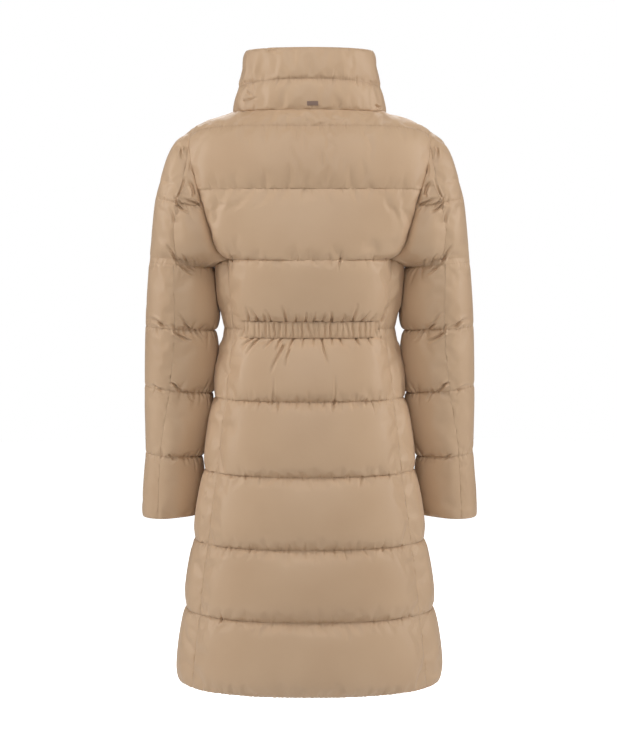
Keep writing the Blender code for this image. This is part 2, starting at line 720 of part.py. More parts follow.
# ---------------------------------------------------------------- what lies on the panels
def build_waist_band(surface, outer):
    """Gathered casing over the back's waist, made from the back's own outer points."""
    normals = surface.normals()
    first_row = LEVELS.index(WAIST_LOW)
    inner, ridged = {}, {}
    for row in range(len(BAND_STEPS) + 1):
        swell = 1.0 if 0 < row < len(BAND_STEPS) else BAND_EDGE
        for place in range(BAND_GATHERS * BAND_POINTS + 1):
            column = place / BAND_POINTS - BAND_COLUMNS
            low = min(math.floor(column), BAND_COLUMNS - 1)
            share = column - low
            keys = [body_key(1 if c > 0 else -1, first_row + row, abs(c)) for c in (low, low + 1)]
            base = outer[keys[0]].lerp(outer[keys[1]], share)
            normal = normals[keys[0]].lerp(normals[keys[1]], share).normalized()
            ridge = BAND_RIDGE * swell * math.sin(math.pi * share) ** 2
            inner[row, place] = base + normal * LIFT
            ridged[row, place] = base + normal * (LIFT + BAND_THICK + ridge)
    faces = [((row, place), (row + 1, place), (row + 1, place + 1), (row, place + 1))
             for row in range(len(BAND_STEPS)) for place in range(BAND_GATHERS * BAND_POINTS)]
    build_wall("waist_band", faces, inner, ridged)


def zip_line(surface, side):
    """Edge points of one front from hem to collar top, each with its neighbour."""
    rows = [(tip_key(side, row, BODY_END), tip_key(side, row, BODY_END - 1))
            for row in range(TOP_ROW + 1)]
    rows += [(collar_key(side, row, BODY_END), collar_key(side, row, BODY_END - 1))
             for row in range(1, len(COLLAR_STEPS))]
    return [(surface.points[edge], surface.points[next_in]) for edge, next_in in rows]


def build_zip_tape(surface, name, side):
    """Tape behind the edge of one front and its half of the collar."""
    inner, outer = {}, {}
    for row, (edge, next_in) in enumerate(zip_line(surface, side)):
        slope = (next_in.y - edge.y) / (abs(next_in.x) - ZIP_EDGE)
        for column, x in enumerate((TAPE_IN, TAPE_OUT)):
            y = edge.y + LIFT + max(slope * (x - ZIP_EDGE), 0.0)
            outer[row, column] = Vector((side * x, y, edge.z))
            inner[row, column] = Vector((side * x, y + TAPE_THICK, edge.z))
    last = len(zip_line(surface, side)) - 1
    faces = [((row, 0), (row, 1), (row + 1, 1), (row + 1, 0))[::side] for row in range(last)]
    build_wall("zip_tape_" + name, faces, inner, outer, "tape")


def zip_depth(surface, level):
    """Depth of the fronts' edge at a level."""
    points = [edge for edge, next_in in zip_line(surface, 1)]
    for low, high in zip(points, points[1:]):
        if low.z <= level <= high.z:
            return low.y + (high.y - low.y) * (level - low.z) / (high.z - low.z)
    return points[-1].y


def arch_outline(length, height, thick):
    """Side view of the slider's bridge: an outer and an inner half oval."""
    steps = 8
    turns = [math.pi * step / steps for step in range(steps + 1)]
    outside = [(height * math.sin(turn), length * math.cos(turn)) for turn in turns]
    inside = [((height - thick) * math.sin(turn), (length - thick) * math.cos(turn))
              for turn in reversed(turns)]
    foot = 0.0004
    return ([(-foot, length)] + outside + [(-foot, -length), (-foot, thick - length)]
            + inside + [(-foot, length - thick)])


def build_slider(face, level):
    """Zip slider: a rounded body with a bridge for the pull tab, fused to its front."""
    body = box("zip_slider", SLIDER_SIZE, Vector((0, face + SLIDER_SIZE.y / 2, level)), "metal")
    soften(body, SLIDER_BEVEL)
    work = bmesh.new()
    corners = [work.verts.new((-BRIDGE_WIDE / 2, face - out, level + up))
               for out, up in arch_outline(BRIDGE_LONG, BRIDGE_HIGH, BRIDGE_THICK)]
    side = work.faces.new(corners)
    moved = bmesh.ops.extrude_face_region(work, geom=[side])["geom"]
    bmesh.ops.translate(work, vec=(BRIDGE_WIDE, 0, 0),
                        verts=[item for item in moved if isinstance(item, bmesh.types.BMVert)])
    bmesh.ops.recalc_face_normals(work, faces=work.faces)
    bridge = finish_mesh("bridge_tool", work, "metal")
    join_or_cut(body, bridge, "UNION")


def build_pull_tab(face, level):
    """Pull tab: a flat plate that hangs from a bar under the slider's bridge."""
    axis = Vector((0, face - BAR_OUT, level))
    bar = TAB_SIZE.y
    tab = box("zip_pull_tab", TAB_SIZE, axis, "metal", (0, 0, (bar - TAB_SIZE.z) / 2))
    soften(tab, TAB_BEVEL)
    window = box("window_tool", TAB_WINDOW, axis, "metal", (0, 0, -(bar + TAB_WINDOW.z) / 2))
    join_or_cut(tab, window, "DIFFERENCE")


def build_plate(outer):
    """Small plain plate at the foot of the collar, at the back."""
    foot, above = outer[collar_key(1, 0, 0)], outer[collar_key(1, 1, 0)]
    lean = math.atan2(above.y - foot.y, above.z - foot.z)
    share = (PLATE_LEVEL - foot.z) / (above.z - foot.z)
    place = foot.lerp(above, share) + Vector((PLATE_X, 0, 0))
    outward = Vector((0, math.cos(lean), -math.sin(lean)))
    plate = box("collar_plate", PLATE_SIZE, Vector(), "metal")
    plate.rotation_euler.x = -lean
    plate.location = place + outward * (LIFT + PLATE_SIZE.y / 2)
    soften(plate, PLATE_BEVEL)


# ---------------------------------------------------------------- small helpers
def material(name):
    found = bpy.data.materials.get(name)
    if found:
        return found
    made = bpy.data.materials.new(name)
    made.use_nodes = True
    shader = made.node_tree.nodes["Principled BSDF"]
    shader.inputs["Base Color"].default_value = PIECE_COLOURS[name]
    shader.inputs["Roughness"].default_value = 0.35 if name == "metal" else 0.6
    shader.inputs["Metallic"].default_value = 1.0 if name == "metal" else 0.0
    return made


def finish_mesh(name, work, finish):
    mesh = bpy.data.meshes.new(name)
    work.normal_update()
    work.to_mesh(mesh)
    work.free()
    piece = bpy.data.objects.new(name, mesh)
    piece.data.materials.append(material(finish))
    bpy.data.collections[COLLECTION].objects.link(piece)
    return piece


def box(name, size, place, finish, offset=(0, 0, 0)):
    """Block of a given size, with its own origin at place and its middle offset from there."""
    work = bmesh.new()
    bmesh.ops.create_cube(work, size=1.0)
    bmesh.ops.scale(work, vec=size, verts=work.verts)
    bmesh.ops.translate(work, vec=offset, verts=work.verts)
    piece = finish_mesh(name, work, finish)
    piece.location = place
    return piece


def soften(piece, width):
    """Round a block's edges."""
    bevel = piece.modifiers.new("soft edges", "BEVEL")
    bevel.width = width
    bevel.segments = 2


def join_or_cut(piece, tool, operation):
    """Fuse a tool to a piece, or cut it away, and keep the tool out of the model."""
    change = piece.modifiers.new(operation.lower(), "BOOLEAN")
    change.operation = operation
    change.object = tool
    tool.hide_render = True
    tool.display_type = "WIRE"
    bpy.data.collections[COLLECTION].objects.unlink(tool)
    bpy.data.collections[TOOLS].objects.link(tool)


def main():
    for thing in list(bpy.data.objects):
        bpy.data.objects.remove(thing, do_unlink=True)
    for name in (COLLECTION, TOOLS):
        bpy.context.scene.collection.children.link(bpy.data.collections.new(name))
    surface = Surface()
    for name, side in MIRROR.items():
        add_body(surface, side, name)
        add_sleeve(surface, side, name)
        add_collar(surface, side)
    outer = outside_points(surface)
    build_panels(surface, outer)
    build_waist_band(surface, outer)
    for name, side in MIRROR.items():
        build_zip_tape(surface, name, side)
    face = zip_depth(surface, SLIDER_LEVEL) - SLIDER_SIZE.y
    build_slider(face, SLIDER_LEVEL)
    build_pull_tab(face, SLIDER_LEVEL)
    build_plate(outer)


main()
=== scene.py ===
# %% [markdown]
# # A long puffer coat, seen from behind
# A puffer coat is two thin layers of nylon with down between them, sewn together along level
# lines. Between the lines the down pushes the cloth out, and at the lines the cloth is pinched in.
# This lesson builds the coat the same way: a smooth net of points for the whole coat, pinned
# along every sewn line, then blown up by Blender's cloth simulation, creased, cut into its sewn
# panels, and finished with stitches, a zip and a nylon material.

# %% Load the coat's fixed frame
import json
import math
import random
from collections import namedtuple
from functools import lru_cache

import bmesh
import bpy
import numpy as np
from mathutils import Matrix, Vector, noise
from mathutils.bvhtree import BVHTree

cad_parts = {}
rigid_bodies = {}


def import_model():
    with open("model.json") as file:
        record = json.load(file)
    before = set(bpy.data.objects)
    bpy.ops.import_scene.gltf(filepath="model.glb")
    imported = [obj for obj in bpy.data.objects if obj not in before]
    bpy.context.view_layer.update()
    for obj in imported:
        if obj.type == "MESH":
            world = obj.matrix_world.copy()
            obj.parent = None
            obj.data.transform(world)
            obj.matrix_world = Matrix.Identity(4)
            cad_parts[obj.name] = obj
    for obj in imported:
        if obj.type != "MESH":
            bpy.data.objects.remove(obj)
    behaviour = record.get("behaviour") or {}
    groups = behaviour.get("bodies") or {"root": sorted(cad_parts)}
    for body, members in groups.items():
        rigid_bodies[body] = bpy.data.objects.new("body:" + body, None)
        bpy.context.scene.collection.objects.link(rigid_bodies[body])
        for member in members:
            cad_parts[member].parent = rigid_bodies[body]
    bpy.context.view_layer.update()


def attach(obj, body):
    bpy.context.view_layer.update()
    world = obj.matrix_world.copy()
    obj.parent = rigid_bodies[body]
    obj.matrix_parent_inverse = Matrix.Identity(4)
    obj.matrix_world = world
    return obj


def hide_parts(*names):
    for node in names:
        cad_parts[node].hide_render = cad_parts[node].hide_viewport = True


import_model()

COAT = "coat"

# %% [markdown]
# ## The cut, in numbers
# A tailor would write a coat down as measurements at a few heights. So do we: every table below
# has a row for each height, in metres from the neck seam at the middle of the back. +X is the
# wearer's left and +Y is the back. The solids of the frame were made from the same figures, so
# the fine cloth lands exactly over them.

# %% Heights of the sewn lines
# thickness of the plain wall, least room between a sleeve and the body, mesh size of the net
WALL, CLEAR, GRID = 0.003, 0.003, 0.006
HEM, THIGH, HIP, LAP, SEAT = -0.993, -0.865, -0.743, -0.620, -0.493
WAIST_LOW, WAIST, WAIST_HIGH = -0.3855, -0.3715, -0.357
CHEST, BLADE, YOKE = -0.252, -0.134, -0.029
# the sleeve's top line, the height where its seams end, and where its ovals end
BICEP = CHEST + 0.75 * (BLADE - CHEST)
SEAM_TIP = BLADE + 0.75 * (YOKE - BLADE)
HEAD_TOP = BLADE + 0.90 * (YOKE - BLADE)
COLLAR_FOOT_LINE = 0.012
PLAIN_LINES = (HEM, THIGH, HIP, LAP, SEAT, WAIST, CHEST, BLADE, YOKE, COLLAR_FOOT_LINE)
BANDED_LINES = (HEM, THIGH, HIP, LAP, SEAT, WAIST_LOW, WAIST_HIGH, CHEST, BLADE, YOKE,
                COLLAR_FOOT_LINE)
print("channels", len(PLAIN_LINES) - 2, "from hem", HEM, "to yoke", YOKE)


# %% Rows of the net, crowded towards the sewn lines, where the cloth creases
def rows_between(lines, size=GRID, crowding=0.45):
    """Heights between sewn lines, about one grid size apart on average."""
    heights = []
    for low, high in zip(lines, lines[1:]):
        count = max(2, round((high - low) / size))
        for i in range(count):
            turn = 2 * math.pi * i / count
            heights.append(low + (high - low) * (turn - crowding * math.sin(turn)) / (2 * math.pi))
    return heights + [lines[-1]]


LEVELS = rows_between((HEM, THIGH, HIP, LAP, SEAT, WAIST_LOW, WAIST, WAIST_HIGH, CHEST, BICEP,
                       BLADE, SEAM_TIP, HEAD_TOP, YOKE))
ARMPIT_ROW = LEVELS.index(CHEST)
YOKE_ROW = len(LEVELS) - 1
STRIP_ROWS = 18
TOP_ROW = YOKE_ROW + STRIP_ROWS
SEAM_TIP_ROW = LEVELS.index(SEAM_TIP) - ARMPIT_ROW
HEAD_TOP_ROW = LEVELS.index(HEAD_TOP) - ARMPIT_ROW
print("rows: armpit", ARMPIT_ROW, "yoke", YOKE_ROW, "top", TOP_ROW)

# %% Columns of the net, from the middle of the back round to the zip
BACK_COLUMNS, SIDE_COLUMNS, NECK_COLUMNS = 48, 28, 28
SHOULDER_COLUMNS = BACK_COLUMNS - NECK_COLUMNS
NECK_SHARE, FRONT_NECK_COLUMNS = 0.45, 25
FRONT_SHARES = ([NECK_SHARE * i / SHOULDER_COLUMNS for i in range(SHOULDER_COLUMNS)]
                + [NECK_SHARE + (1 - NECK_SHARE) * i / FRONT_NECK_COLUMNS
                   for i in range(FRONT_NECK_COLUMNS + 1)])
SIDE_END = BACK_COLUMNS + SIDE_COLUMNS
BODY_END = SIDE_END + len(FRONT_SHARES) - 1
BAND_COLUMN, BAND_FADE = 40, 5
UPPER_COLUMNS, HORN_COLUMNS = 2 * STRIP_ROWS, 9
FRONT_HORN = UPPER_COLUMNS + HORN_COLUMNS
BACK_HORN = FRONT_HORN + SIDE_COLUMNS
RING_COLUMNS = BACK_HORN + HORN_COLUMNS
print("net of", len(LEVELS) + STRIP_ROWS, "rows by", 2 * BODY_END, "columns on the body")

# %% The body's tables
ZIP_EDGE, SEAM_SHARE, ROUNDNESS = 0.006, 0.88, 2.4
ARMPIT_DIP, NECK_DROP, TIP_DROP = 0.008, 0.040, 0.009
Body = namedtuple("Body", "level half_width back_depth front_depth")
BODY_TABLE = (
    Body(HEM, 0.2265, 0.148, 0.144),
    Body(THIGH, 0.2115, 0.141, 0.137),
    Body(HIP, 0.1945, 0.132, 0.128),
    Body(LAP, 0.1760, 0.122, 0.118),
    Body(SEAT, 0.1595, 0.111, 0.108),
    Body(WAIST, 0.1455, 0.093, 0.097),
    Body(CHEST, 0.1540, 0.110, 0.106),
    Body(BLADE, 0.1540, 0.104, 0.100),
    Body(YOKE, 0.1540, 0.092, 0.088),
)
Armhole = namedtuple("Armhole", "level back_x back_y front_x front_y")
ARMHOLE = (
    Armhole(CHEST, 0.1355, 0.063, 0.1355, -0.061),
    Armhole(-0.240, 0.1520, 0.071, 0.1480, -0.069),
    Armhole(-0.200, 0.1680, 0.080, 0.1600, -0.077),
    Armhole(-0.166, 0.1780, 0.080, 0.1680, -0.076),
    Armhole(-0.120, 0.1930, 0.072, 0.1800, -0.067),
    Armhole(-0.075, 0.2030, 0.056, 0.1940, -0.053),
    Armhole(-0.045, 0.2060, 0.038, 0.2020, -0.038),
    Armhole(YOKE, 0.2050, 0.022, 0.2050, -0.028),
)
SHOULDER_TIP = Vector((0.205, -0.005, -0.035))
NECK_SIDE = Vector((0.129, 0.0, -0.002))
NECK_BACK_DEPTH, NECK_FRONT_DEPTH = 0.080, 0.074
print("half widths from", min(row.half_width for row in BODY_TABLE), "to",
      max(row.half_width for row in BODY_TABLE))

# %% The sleeve's table
Sleeve = namedtuple("Sleeve", "level centre_x centre_y half_width half_depth seam_deg tilt")
SLEEVE = (
    Sleeve(-0.710, 0.2510, -0.042, 0.0430, 0.050, 72, 0.000),
    Sleeve(-0.598, 0.2410, -0.033, 0.0445, 0.054, 68, 0.004),
    Sleeve(-0.481, 0.2301, -0.020, 0.0541, 0.061, 79, 0.007),
    Sleeve(-0.373, 0.2257, -0.010, 0.0552, 0.066, 84, 0.004),
    Sleeve(-0.262, 0.2213, -0.004, 0.0518, 0.068, 80, 0.004),
)
SLEEVE_ROUNDNESS, FRONT_SEAM_DEG, ARMPIT_DEG = 2.2, -95, 138
SLEEVE_LINES = tuple(row.level for row in SLEEVE)
SLEEVE_LEVELS = rows_between(SLEEVE_LINES)
RING_ROWS = len(SLEEVE_LEVELS)
Head = namedtuple("Head", "level outer_x seam_x")
HEAD = (
    Head(-0.262, 0.2730, 0.2250),
    Head(-0.200, 0.2665, 0.2290),
    Head(-0.150, 0.2605, 0.2230),
    Head(-0.100, 0.2455, 0.2140),
    Head(-0.075, 0.2385, 0.2080),
    Head(-0.053, 0.2290, 0.2060),
    Head(-0.0385, 0.2175, 0.2060),
    Head(YOKE, 0.2050, 0.2050),
)
HEAD_ROUNDNESS, HEAD_MIDDLE, HEAD_BOW = 2.8, -0.004, 0.008
HEAD_RISE, HEAD_START, LINE_MARGIN = 0.014, 0.003, 0.002
HEAD_LINES = (CHEST - LINE_MARGIN, BICEP, YOKE + LINE_MARGIN)
SLEEVE_FREE = -0.268
print("sleeve rows", RING_ROWS)

# %% The collar's table, and the sizes of the plate on it
Collar = namedtuple("Collar", "share half_width back_depth front_depth back_z front_z")
COLLAR = (
    Collar(0.00, NECK_SIDE.x, 0.080, 0.074, 0.000, -0.040),
    Collar(0.50, 0.1190, 0.077, 0.076, 0.052, 0.024),
    Collar(1.00, 0.1070, 0.074, 0.077, 0.1050, 0.090),
)
COLLAR_HEIGHT, COLLAR_DIP = 0.105, 0.010
COLLAR_LINES = (0.0, 0.5, 1.0)
COLLAR_STEPS = rows_between(COLLAR_LINES, GRID / COLLAR_HEIGHT)
# place of the collar's plate, how far round it the cloth is held down, and its sizes
PLATE_X, PLATE_Z, PLATE_HOLD = -0.005, 0.0105, 0.007
PLATE_WIDE, PLATE_TALL, PLATE_THICK, PLATE_CORNER = 0.0190, 0.0076, 0.0012, 0.0009
print("collar rows", len(COLLAR_STEPS))

# %% [markdown]
# ## Reading the tables
# Between two rows of a table the shape is a smooth cubic that never overshoots, so a waist stays
# the narrowest place and no bump appears between measurements. Cross-sections are squarish
# ovals (a superellipse), because a padded coat is flatter at the back than a true ellipse.


# %% Smooth reading
@lru_cache(maxsize=None)
def read(table, column, level, key="level"):
    """Value of a column at any level."""
    rows = sorted(table, key=lambda row: getattr(row, key))
    at = [getattr(row, key) for row in rows]
    value = [getattr(row, column) for row in rows]
    level = min(max(level, at[0]), at[-1])
    slopes = [(value[i + 1] - value[i]) / (at[i + 1] - at[i]) for i in range(len(at) - 1)]
    tangents = [slopes[0]]
    for before, after in zip(slopes, slopes[1:]):
        same_way = before * after > 0
        tangents.append(2 * before * after / (before + after) if same_way else 0.0)
    tangents.append(slopes[-1])
    i = max(k for k in range(len(at) - 1) if at[k] <= level)
    step = at[i + 1] - at[i]
    t = (level - at[i]) / step
    return (value[i] * (2 * t**3 - 3 * t**2 + 1) + tangents[i] * step * (t**3 - 2 * t**2 + t)
            + value[i + 1] * (3 * t**2 - 2 * t**3) + tangents[i + 1] * step * (t**3 - t**2))


print("half width between the waist and the chest", round(read(BODY_TABLE, "half_width", -0.3), 4))


# %% Squarish ovals
def depth_at(x, half_width, depth):
    """Depth of a squarish oval at x."""
    share = min(abs(x) / half_width, 1.0)
    return depth * (1.0 - share**ROUNDNESS) ** (1.0 / ROUNDNESS)


def oval(angle, half_width, depth, roundness):
    """Point of a squarish oval: angle 0 is +X, a quarter turn is the full depth."""
    across = math.copysign(abs(math.cos(angle)) ** (2 / roundness), math.cos(angle))
    along = math.copysign(abs(math.sin(angle)) ** (2 / roundness), math.sin(angle))
    return half_width * across, depth * along


def oval_through(x, y, depth):
    """Half width of the oval of this depth that passes through a point."""
    return x / (1.0 - (abs(y) / depth) ** ROUNDNESS) ** (1.0 / ROUNDNESS)


print("depth half way out, of a unit oval", round(depth_at(0.5, 1.0, 1.0), 3))

# %% How thick the down is, and where it thins out
FILL_BACK, FILL_SIDE, FILL_YOKE, FILL_COLLAR = 0.019, 0.009, 0.007, 0.005
FILL_ARM_OUT, FILL_ARM_IN, COLLAR_SIDE_LIFT = 0.004, 0.011, 0.7
SEAM_FADE, SEAM_FILL, ARM_ROLL, ARM_SMOOTH = 0.032, 0.30, 0.018, -0.080
ARM_FADE, ARM_SEAM_FILL, ARM_IN_GAIN, ARM_LIFT_LOSS = 0.025, 0.45, 1.6, 2.4
SAG, FULLNESS = 0.84, 0.62
LINE_LIFT = ((HEM, 0.06), (HIP, 0.22), (SEAT, 0.38), (WAIST, 0.24), (CHEST, 0.80), (BLADE, 0.72),
             (YOKE, 0.20))
BODY_FULLNESS = ((CHEST, 0.54), (BLADE, 0.66), (YOKE, 1.05))
ARM_LIFT = ((-0.620, 0.4), (-0.598, 0.6), (-0.481, 0.85), (-0.262, 0.95), (-0.160, 0.95))
START_FILL, DROOP = 0.84, 0.36
NECK_THIN, NECK_THIN_COLUMNS, STRIP_FADE = 0.65, 9, 0.06
UPPER_BACK_SWELL, TOP_ROLL = 0.25, 0.060
SIDE_THIN, SIDE_THIN_FROM, SIDE_THIN_OVER = 0.7, 0.80, 0.18
WAIST_REACH, SEAT_REACH, SEAT_THIN = 0.030, 0.020, 0.6
HEAD_THIN_LEVELS, HEAD_THIN = (-0.11, -0.05), (1.0, 0.25)
print("down over the wall: back", FILL_BACK, "side", FILL_SIDE, "sleeve", FILL_ARM_IN)


# %% The rise of the down between two lines, and its thinning towards a seam
def channel_share(level, lines):
    """How far up its channel a level lies, from 0 to 1."""
    for low, high in zip(lines, lines[1:]):
        if low <= level <= high:
            return (level - low) / (high - low)
    return 0.0


def bulge(level, lines, fullness=FULLNESS):
    """Share of the down at a level: none on the sewn lines, most below a channel's middle."""
    share = channel_share(level, lines)
    return max(math.sin(math.pi * share**SAG), 0.0) ** fullness


def lift(level):
    """Share of the down that stays at the sewn lines: they are shallow high on the coat."""
    return float(np.interp(level, *zip(*LINE_LIFT)))


def fade(distance, reach=SEAM_FADE, least=SEAM_FILL):
    """Thinning of the down towards a seam."""
    return least + (1.0 - least) * math.sin(min(distance / reach, 1.0) * math.pi / 2)


def clamped(value):
    """A share kept between 0 and 1."""
    return min(max(value, 0.0), 1.0)


def close_to(level, line, reach):
    """1 on a line, and almost nothing two reaches from it."""
    return math.exp(-(((level - line) / reach) ** 2))


print("rise a quarter, half and three quarters up a channel",
      [round(bulge(share, (0.0, 1.0)), 2) for share in (0.25, 0.5, 0.75)])

# %% [markdown]
# ## The body of the coat
# The back is one panel, and each front wraps round the side to meet it. Boxes pushed into shape
# by hand would do for one coat, but points worked out from the tables can be changed in one
# number. Each row of the net starts at the middle of the back, passes its side seam, goes under
# the arm and ends at the zip. Above the yoke line a strip of rows climbs over the shoulder to the
# neck seam and the shoulder seam, where the back and the fronts share their points.


# %% Edges of the body's panels
def back_edge(level):
    """The back's side seam, and above the armpit its armhole."""
    if level > CHEST:
        return read(ARMHOLE, "back_x", level), read(ARMHOLE, "back_y", level)
    half_width = read(BODY_TABLE, "half_width", level)
    x = SEAM_SHARE * half_width
    return x, depth_at(x, half_width, read(BODY_TABLE, "back_depth", level))


def front_edge(level):
    """The line under the front of the armhole, and the armhole above it."""
    if level > CHEST:
        return read(ARMHOLE, "front_x", level), read(ARMHOLE, "front_y", level)
    half_width = read(BODY_TABLE, "half_width", level)
    x = SEAM_SHARE * half_width
    return x, -depth_at(x, half_width, read(BODY_TABLE, "front_depth", level))


def neck_point(angle):
    """Neck seam: 0 is the middle of the back, a quarter turn the side, a half turn the front."""
    depth = NECK_BACK_DEPTH if math.cos(angle) > 0 else NECK_FRONT_DEPTH
    end_z = 0.0 if math.cos(angle) > 0 else -NECK_DROP
    z = NECK_SIDE.z + (end_z - NECK_SIDE.z) * math.cos(angle) ** 2
    return Vector((NECK_SIDE.x * math.sin(angle), depth * math.cos(angle), z))


def neck_angle(column):
    """Angle of the neck seam at a column of the body."""
    if column <= NECK_COLUMNS:
        return math.pi / 2 * column / NECK_COLUMNS
    last = math.pi - math.asin(ZIP_EDGE / NECK_SIDE.x)
    share = (column - SIDE_END - SHOULDER_COLUMNS) / (BODY_END - SIDE_END - SHOULDER_COLUMNS)
    return math.pi / 2 + (last - math.pi / 2) * share


def top_point(column):
    """Neck seam or shoulder seam above a column of the back or the front."""
    if column <= NECK_COLUMNS or column >= SIDE_END + SHOULDER_COLUMNS:
        return neck_point(neck_angle(column))
    if column <= BACK_COLUMNS:
        share = (column - NECK_COLUMNS) / SHOULDER_COLUMNS
    else:
        share = 1.0 - (column - SIDE_END) / SHOULDER_COLUMNS
    return NECK_SIDE.lerp(SHOULDER_TIP, share)


print("side seam at the hem", [round(v, 3) for v in back_edge(HEM)])


# %% Any point of the body's inside
def edge_drop(level):
    """How far a row bends down by the time it reaches the armhole."""
    return TIP_DROP * (max(level - BLADE, 0.0) / (YOKE - BLADE)) ** 2


def side_point(level, step):
    """Point under the arm, between the side seam and the front line."""
    half_width = read(BODY_TABLE, "half_width", level)
    start = math.acos(SEAM_SHARE ** (ROUNDNESS / 2))
    angle = start * (1.0 - 2.0 * step / SIDE_COLUMNS)
    depth = read(BODY_TABLE, "back_depth" if angle > 0 else "front_depth", level)
    x, y = oval(angle, half_width, depth, ROUNDNESS)
    dip = ARMPIT_DIP * math.sin(math.pi * step / SIDE_COLUMNS) if level == CHEST else 0.0
    return Vector((x, y, level - dip))


def shoulder_arch(column):
    """How much the strip is arched: fully on the shoulder, not at all at front or back."""
    if column <= NECK_COLUMNS or column >= SIDE_END + SHOULDER_COLUMNS:
        return math.sin(neck_angle(column)) ** 5
    return 1.0


@lru_cache(maxsize=None)
def body_point(row, column):
    """Point of the wearer's left half of the body's inside."""
    level = LEVELS[min(row, YOKE_ROW)]
    if column <= BACK_COLUMNS:
        x_edge, y_edge = back_edge(level)
        depth = read(BODY_TABLE, "back_depth", level)
        x = x_edge * column / BACK_COLUMNS
        y = depth_at(x, oval_through(x_edge, y_edge, depth), depth)
        point = Vector((x, y, level - edge_drop(level) * (column / BACK_COLUMNS) ** 5))
    elif column < SIDE_END:
        point = side_point(level, column - BACK_COLUMNS)
    else:
        x_edge, y_edge = front_edge(level)
        depth = read(BODY_TABLE, "front_depth", level)
        share = FRONT_SHARES[column - SIDE_END]
        x = x_edge + (ZIP_EDGE - x_edge) * share
        y = -depth_at(x, oval_through(x_edge, y_edge, depth), depth)
        rise = max(level - BLADE, 0.0) / (YOKE - BLADE)
        drop = NECK_DROP * rise * share**1.5 + edge_drop(level) * (1.0 - share) ** 5
        point = Vector((x, y, level - drop))
    if row > YOKE_ROW:
        share = (row - YOKE_ROW) / STRIP_ROWS
        low, top = point, top_point(column)
        point = low.lerp(top, share)
        point.z += (top.z - low.z) * (math.sin(share * math.pi / 2) - share) * shoulder_arch(column)
    return point


print("middle of the back at the waist", [round(v, 3) for v in body_point(LEVELS.index(WAIST), 0)])


# %% How far the body's outside stands off
def body_fill(row, column, point):
    """Height of the body's outside over its inside."""
    level = LEVELS[min(row, YOKE_ROW)]
    if row > YOKE_ROW:
        share = (row - YOKE_ROW) / STRIP_ROWS
        from_arm = (point - SHOULDER_TIP).length
        foot = (body_fill(YOKE_ROW, column, body_point(YOKE_ROW, column)) - WALL) * (1 - share)**2
        from_neck = min(abs(column - NECK_COLUMNS), abs(column - SIDE_END - SHOULDER_COLUMNS))
        full = FILL_YOKE * (1.0 - NECK_THIN * close_to(from_neck, 0, NECK_THIN_COLUMNS))
        return WALL + foot + full * math.sin(math.pi * share) * fade(from_arm, STRIP_FADE)
    on_back = column <= BACK_COLUMNS
    side = min(abs(point.x) / read(BODY_TABLE, "half_width", level), 1.0)
    full = FILL_SIDE + (FILL_BACK - FILL_SIDE) * (1.0 - side**2)
    if on_back and BLADE < level < YOKE:
        full *= 1.0 + UPPER_BACK_SWELL * math.sin(math.pi * (level - BLADE) / (YOKE - BLADE))
    from_seam = abs(point.x - (back_edge(level) if on_back else front_edge(level))[0])
    if BACK_COLUMNS < column < SIDE_END:
        from_seam = (point - body_point(row, BACK_COLUMNS)).length
    elif not on_back and level <= CHEST:
        from_seam = SEAM_FADE
    roll = float(np.interp(level, (BLADE, ARM_SMOOTH), (ARM_ROLL, TOP_ROLL)))
    thin = fade(from_seam, roll if level > CHEST else SEAM_FADE)
    thin *= fade(abs(point.x) - ZIP_EDGE) if column >= SIDE_END else 1.0
    waist = close_to(level, WAIST, WAIST_REACH) + SEAT_THIN * close_to(level, SEAT, SEAT_REACH)
    thin *= 1.0 - SIDE_THIN * waist * clamped((side - SIDE_THIN_FROM) / SIDE_THIN_OVER)
    fullness = float(np.interp(level, *zip(*BODY_FULLNESS)))
    banded = 0.0 if WAIST_LOW <= level <= WAIST_HIGH else bulge(level, BANDED_LINES, fullness)
    plain = bulge(level, PLAIN_LINES, fullness)
    share = clamped((column - BAND_COLUMN) / BAND_FADE) if on_back else 1.0
    down = banded + (plain - banded) * share
    rest = lift(level) if banded or plain or not on_back or share else 0.0
    return WALL + full * (rest + (1.0 - rest) * down) * thin


full_row = LEVELS.index(SEAT) - 10
print("thickness in a channel of the back",
      round(body_fill(full_row, 0, body_point(full_row, 0)), 4))

# %% [markdown]
# ## The sleeves and the collar
# A sleeve has an upper and an under part and hangs from the armhole. It could be a bent tube cut
# into the body, but a cut leaves a ragged seam. So it is a stack of tilted ovals up to the
# armpit, and above it the ovals open towards the body and share their ends with the armhole:
# sleeve and body are one net. The collar is a short funnel on the neck seam.


# %% Any point of a sleeve below the armpit
def ring_angle(column, level):
    """Angle round a sleeve: 0 is outside, a quarter turn is its back."""
    seam = read(SLEEVE, "seam_deg", level)
    stops = ((0, seam), (UPPER_COLUMNS // 2, 0.0), (UPPER_COLUMNS, FRONT_SEAM_DEG),
             (FRONT_HORN, -ARMPIT_DEG), (BACK_HORN, ARMPIT_DEG - 360), (RING_COLUMNS, seam - 360))
    for (first, start), (last, end) in zip(stops, stops[1:]):
        if first <= column <= last:
            return math.radians(start + (end - start) * (column - first) / (last - first))
    return 0.0


@lru_cache(maxsize=None)
def ring_point(row, column):
    """Point of the left sleeve's inside below the armpit."""
    level = SLEEVE_LEVELS[row]
    angle = ring_angle(column, level)
    x, y = oval(angle, read(SLEEVE, "half_width", level), read(SLEEVE, "half_depth", level),
                SLEEVE_ROUNDNESS)
    z = level + read(SLEEVE, "tilt", level) * math.cos(angle)
    return Vector((read(SLEEVE, "centre_x", level) + x, read(SLEEVE, "centre_y", level) + y, z))


print("outside of the elbow", [round(v, 3) for v in ring_point(RING_ROWS // 2, STRIP_ROWS)])


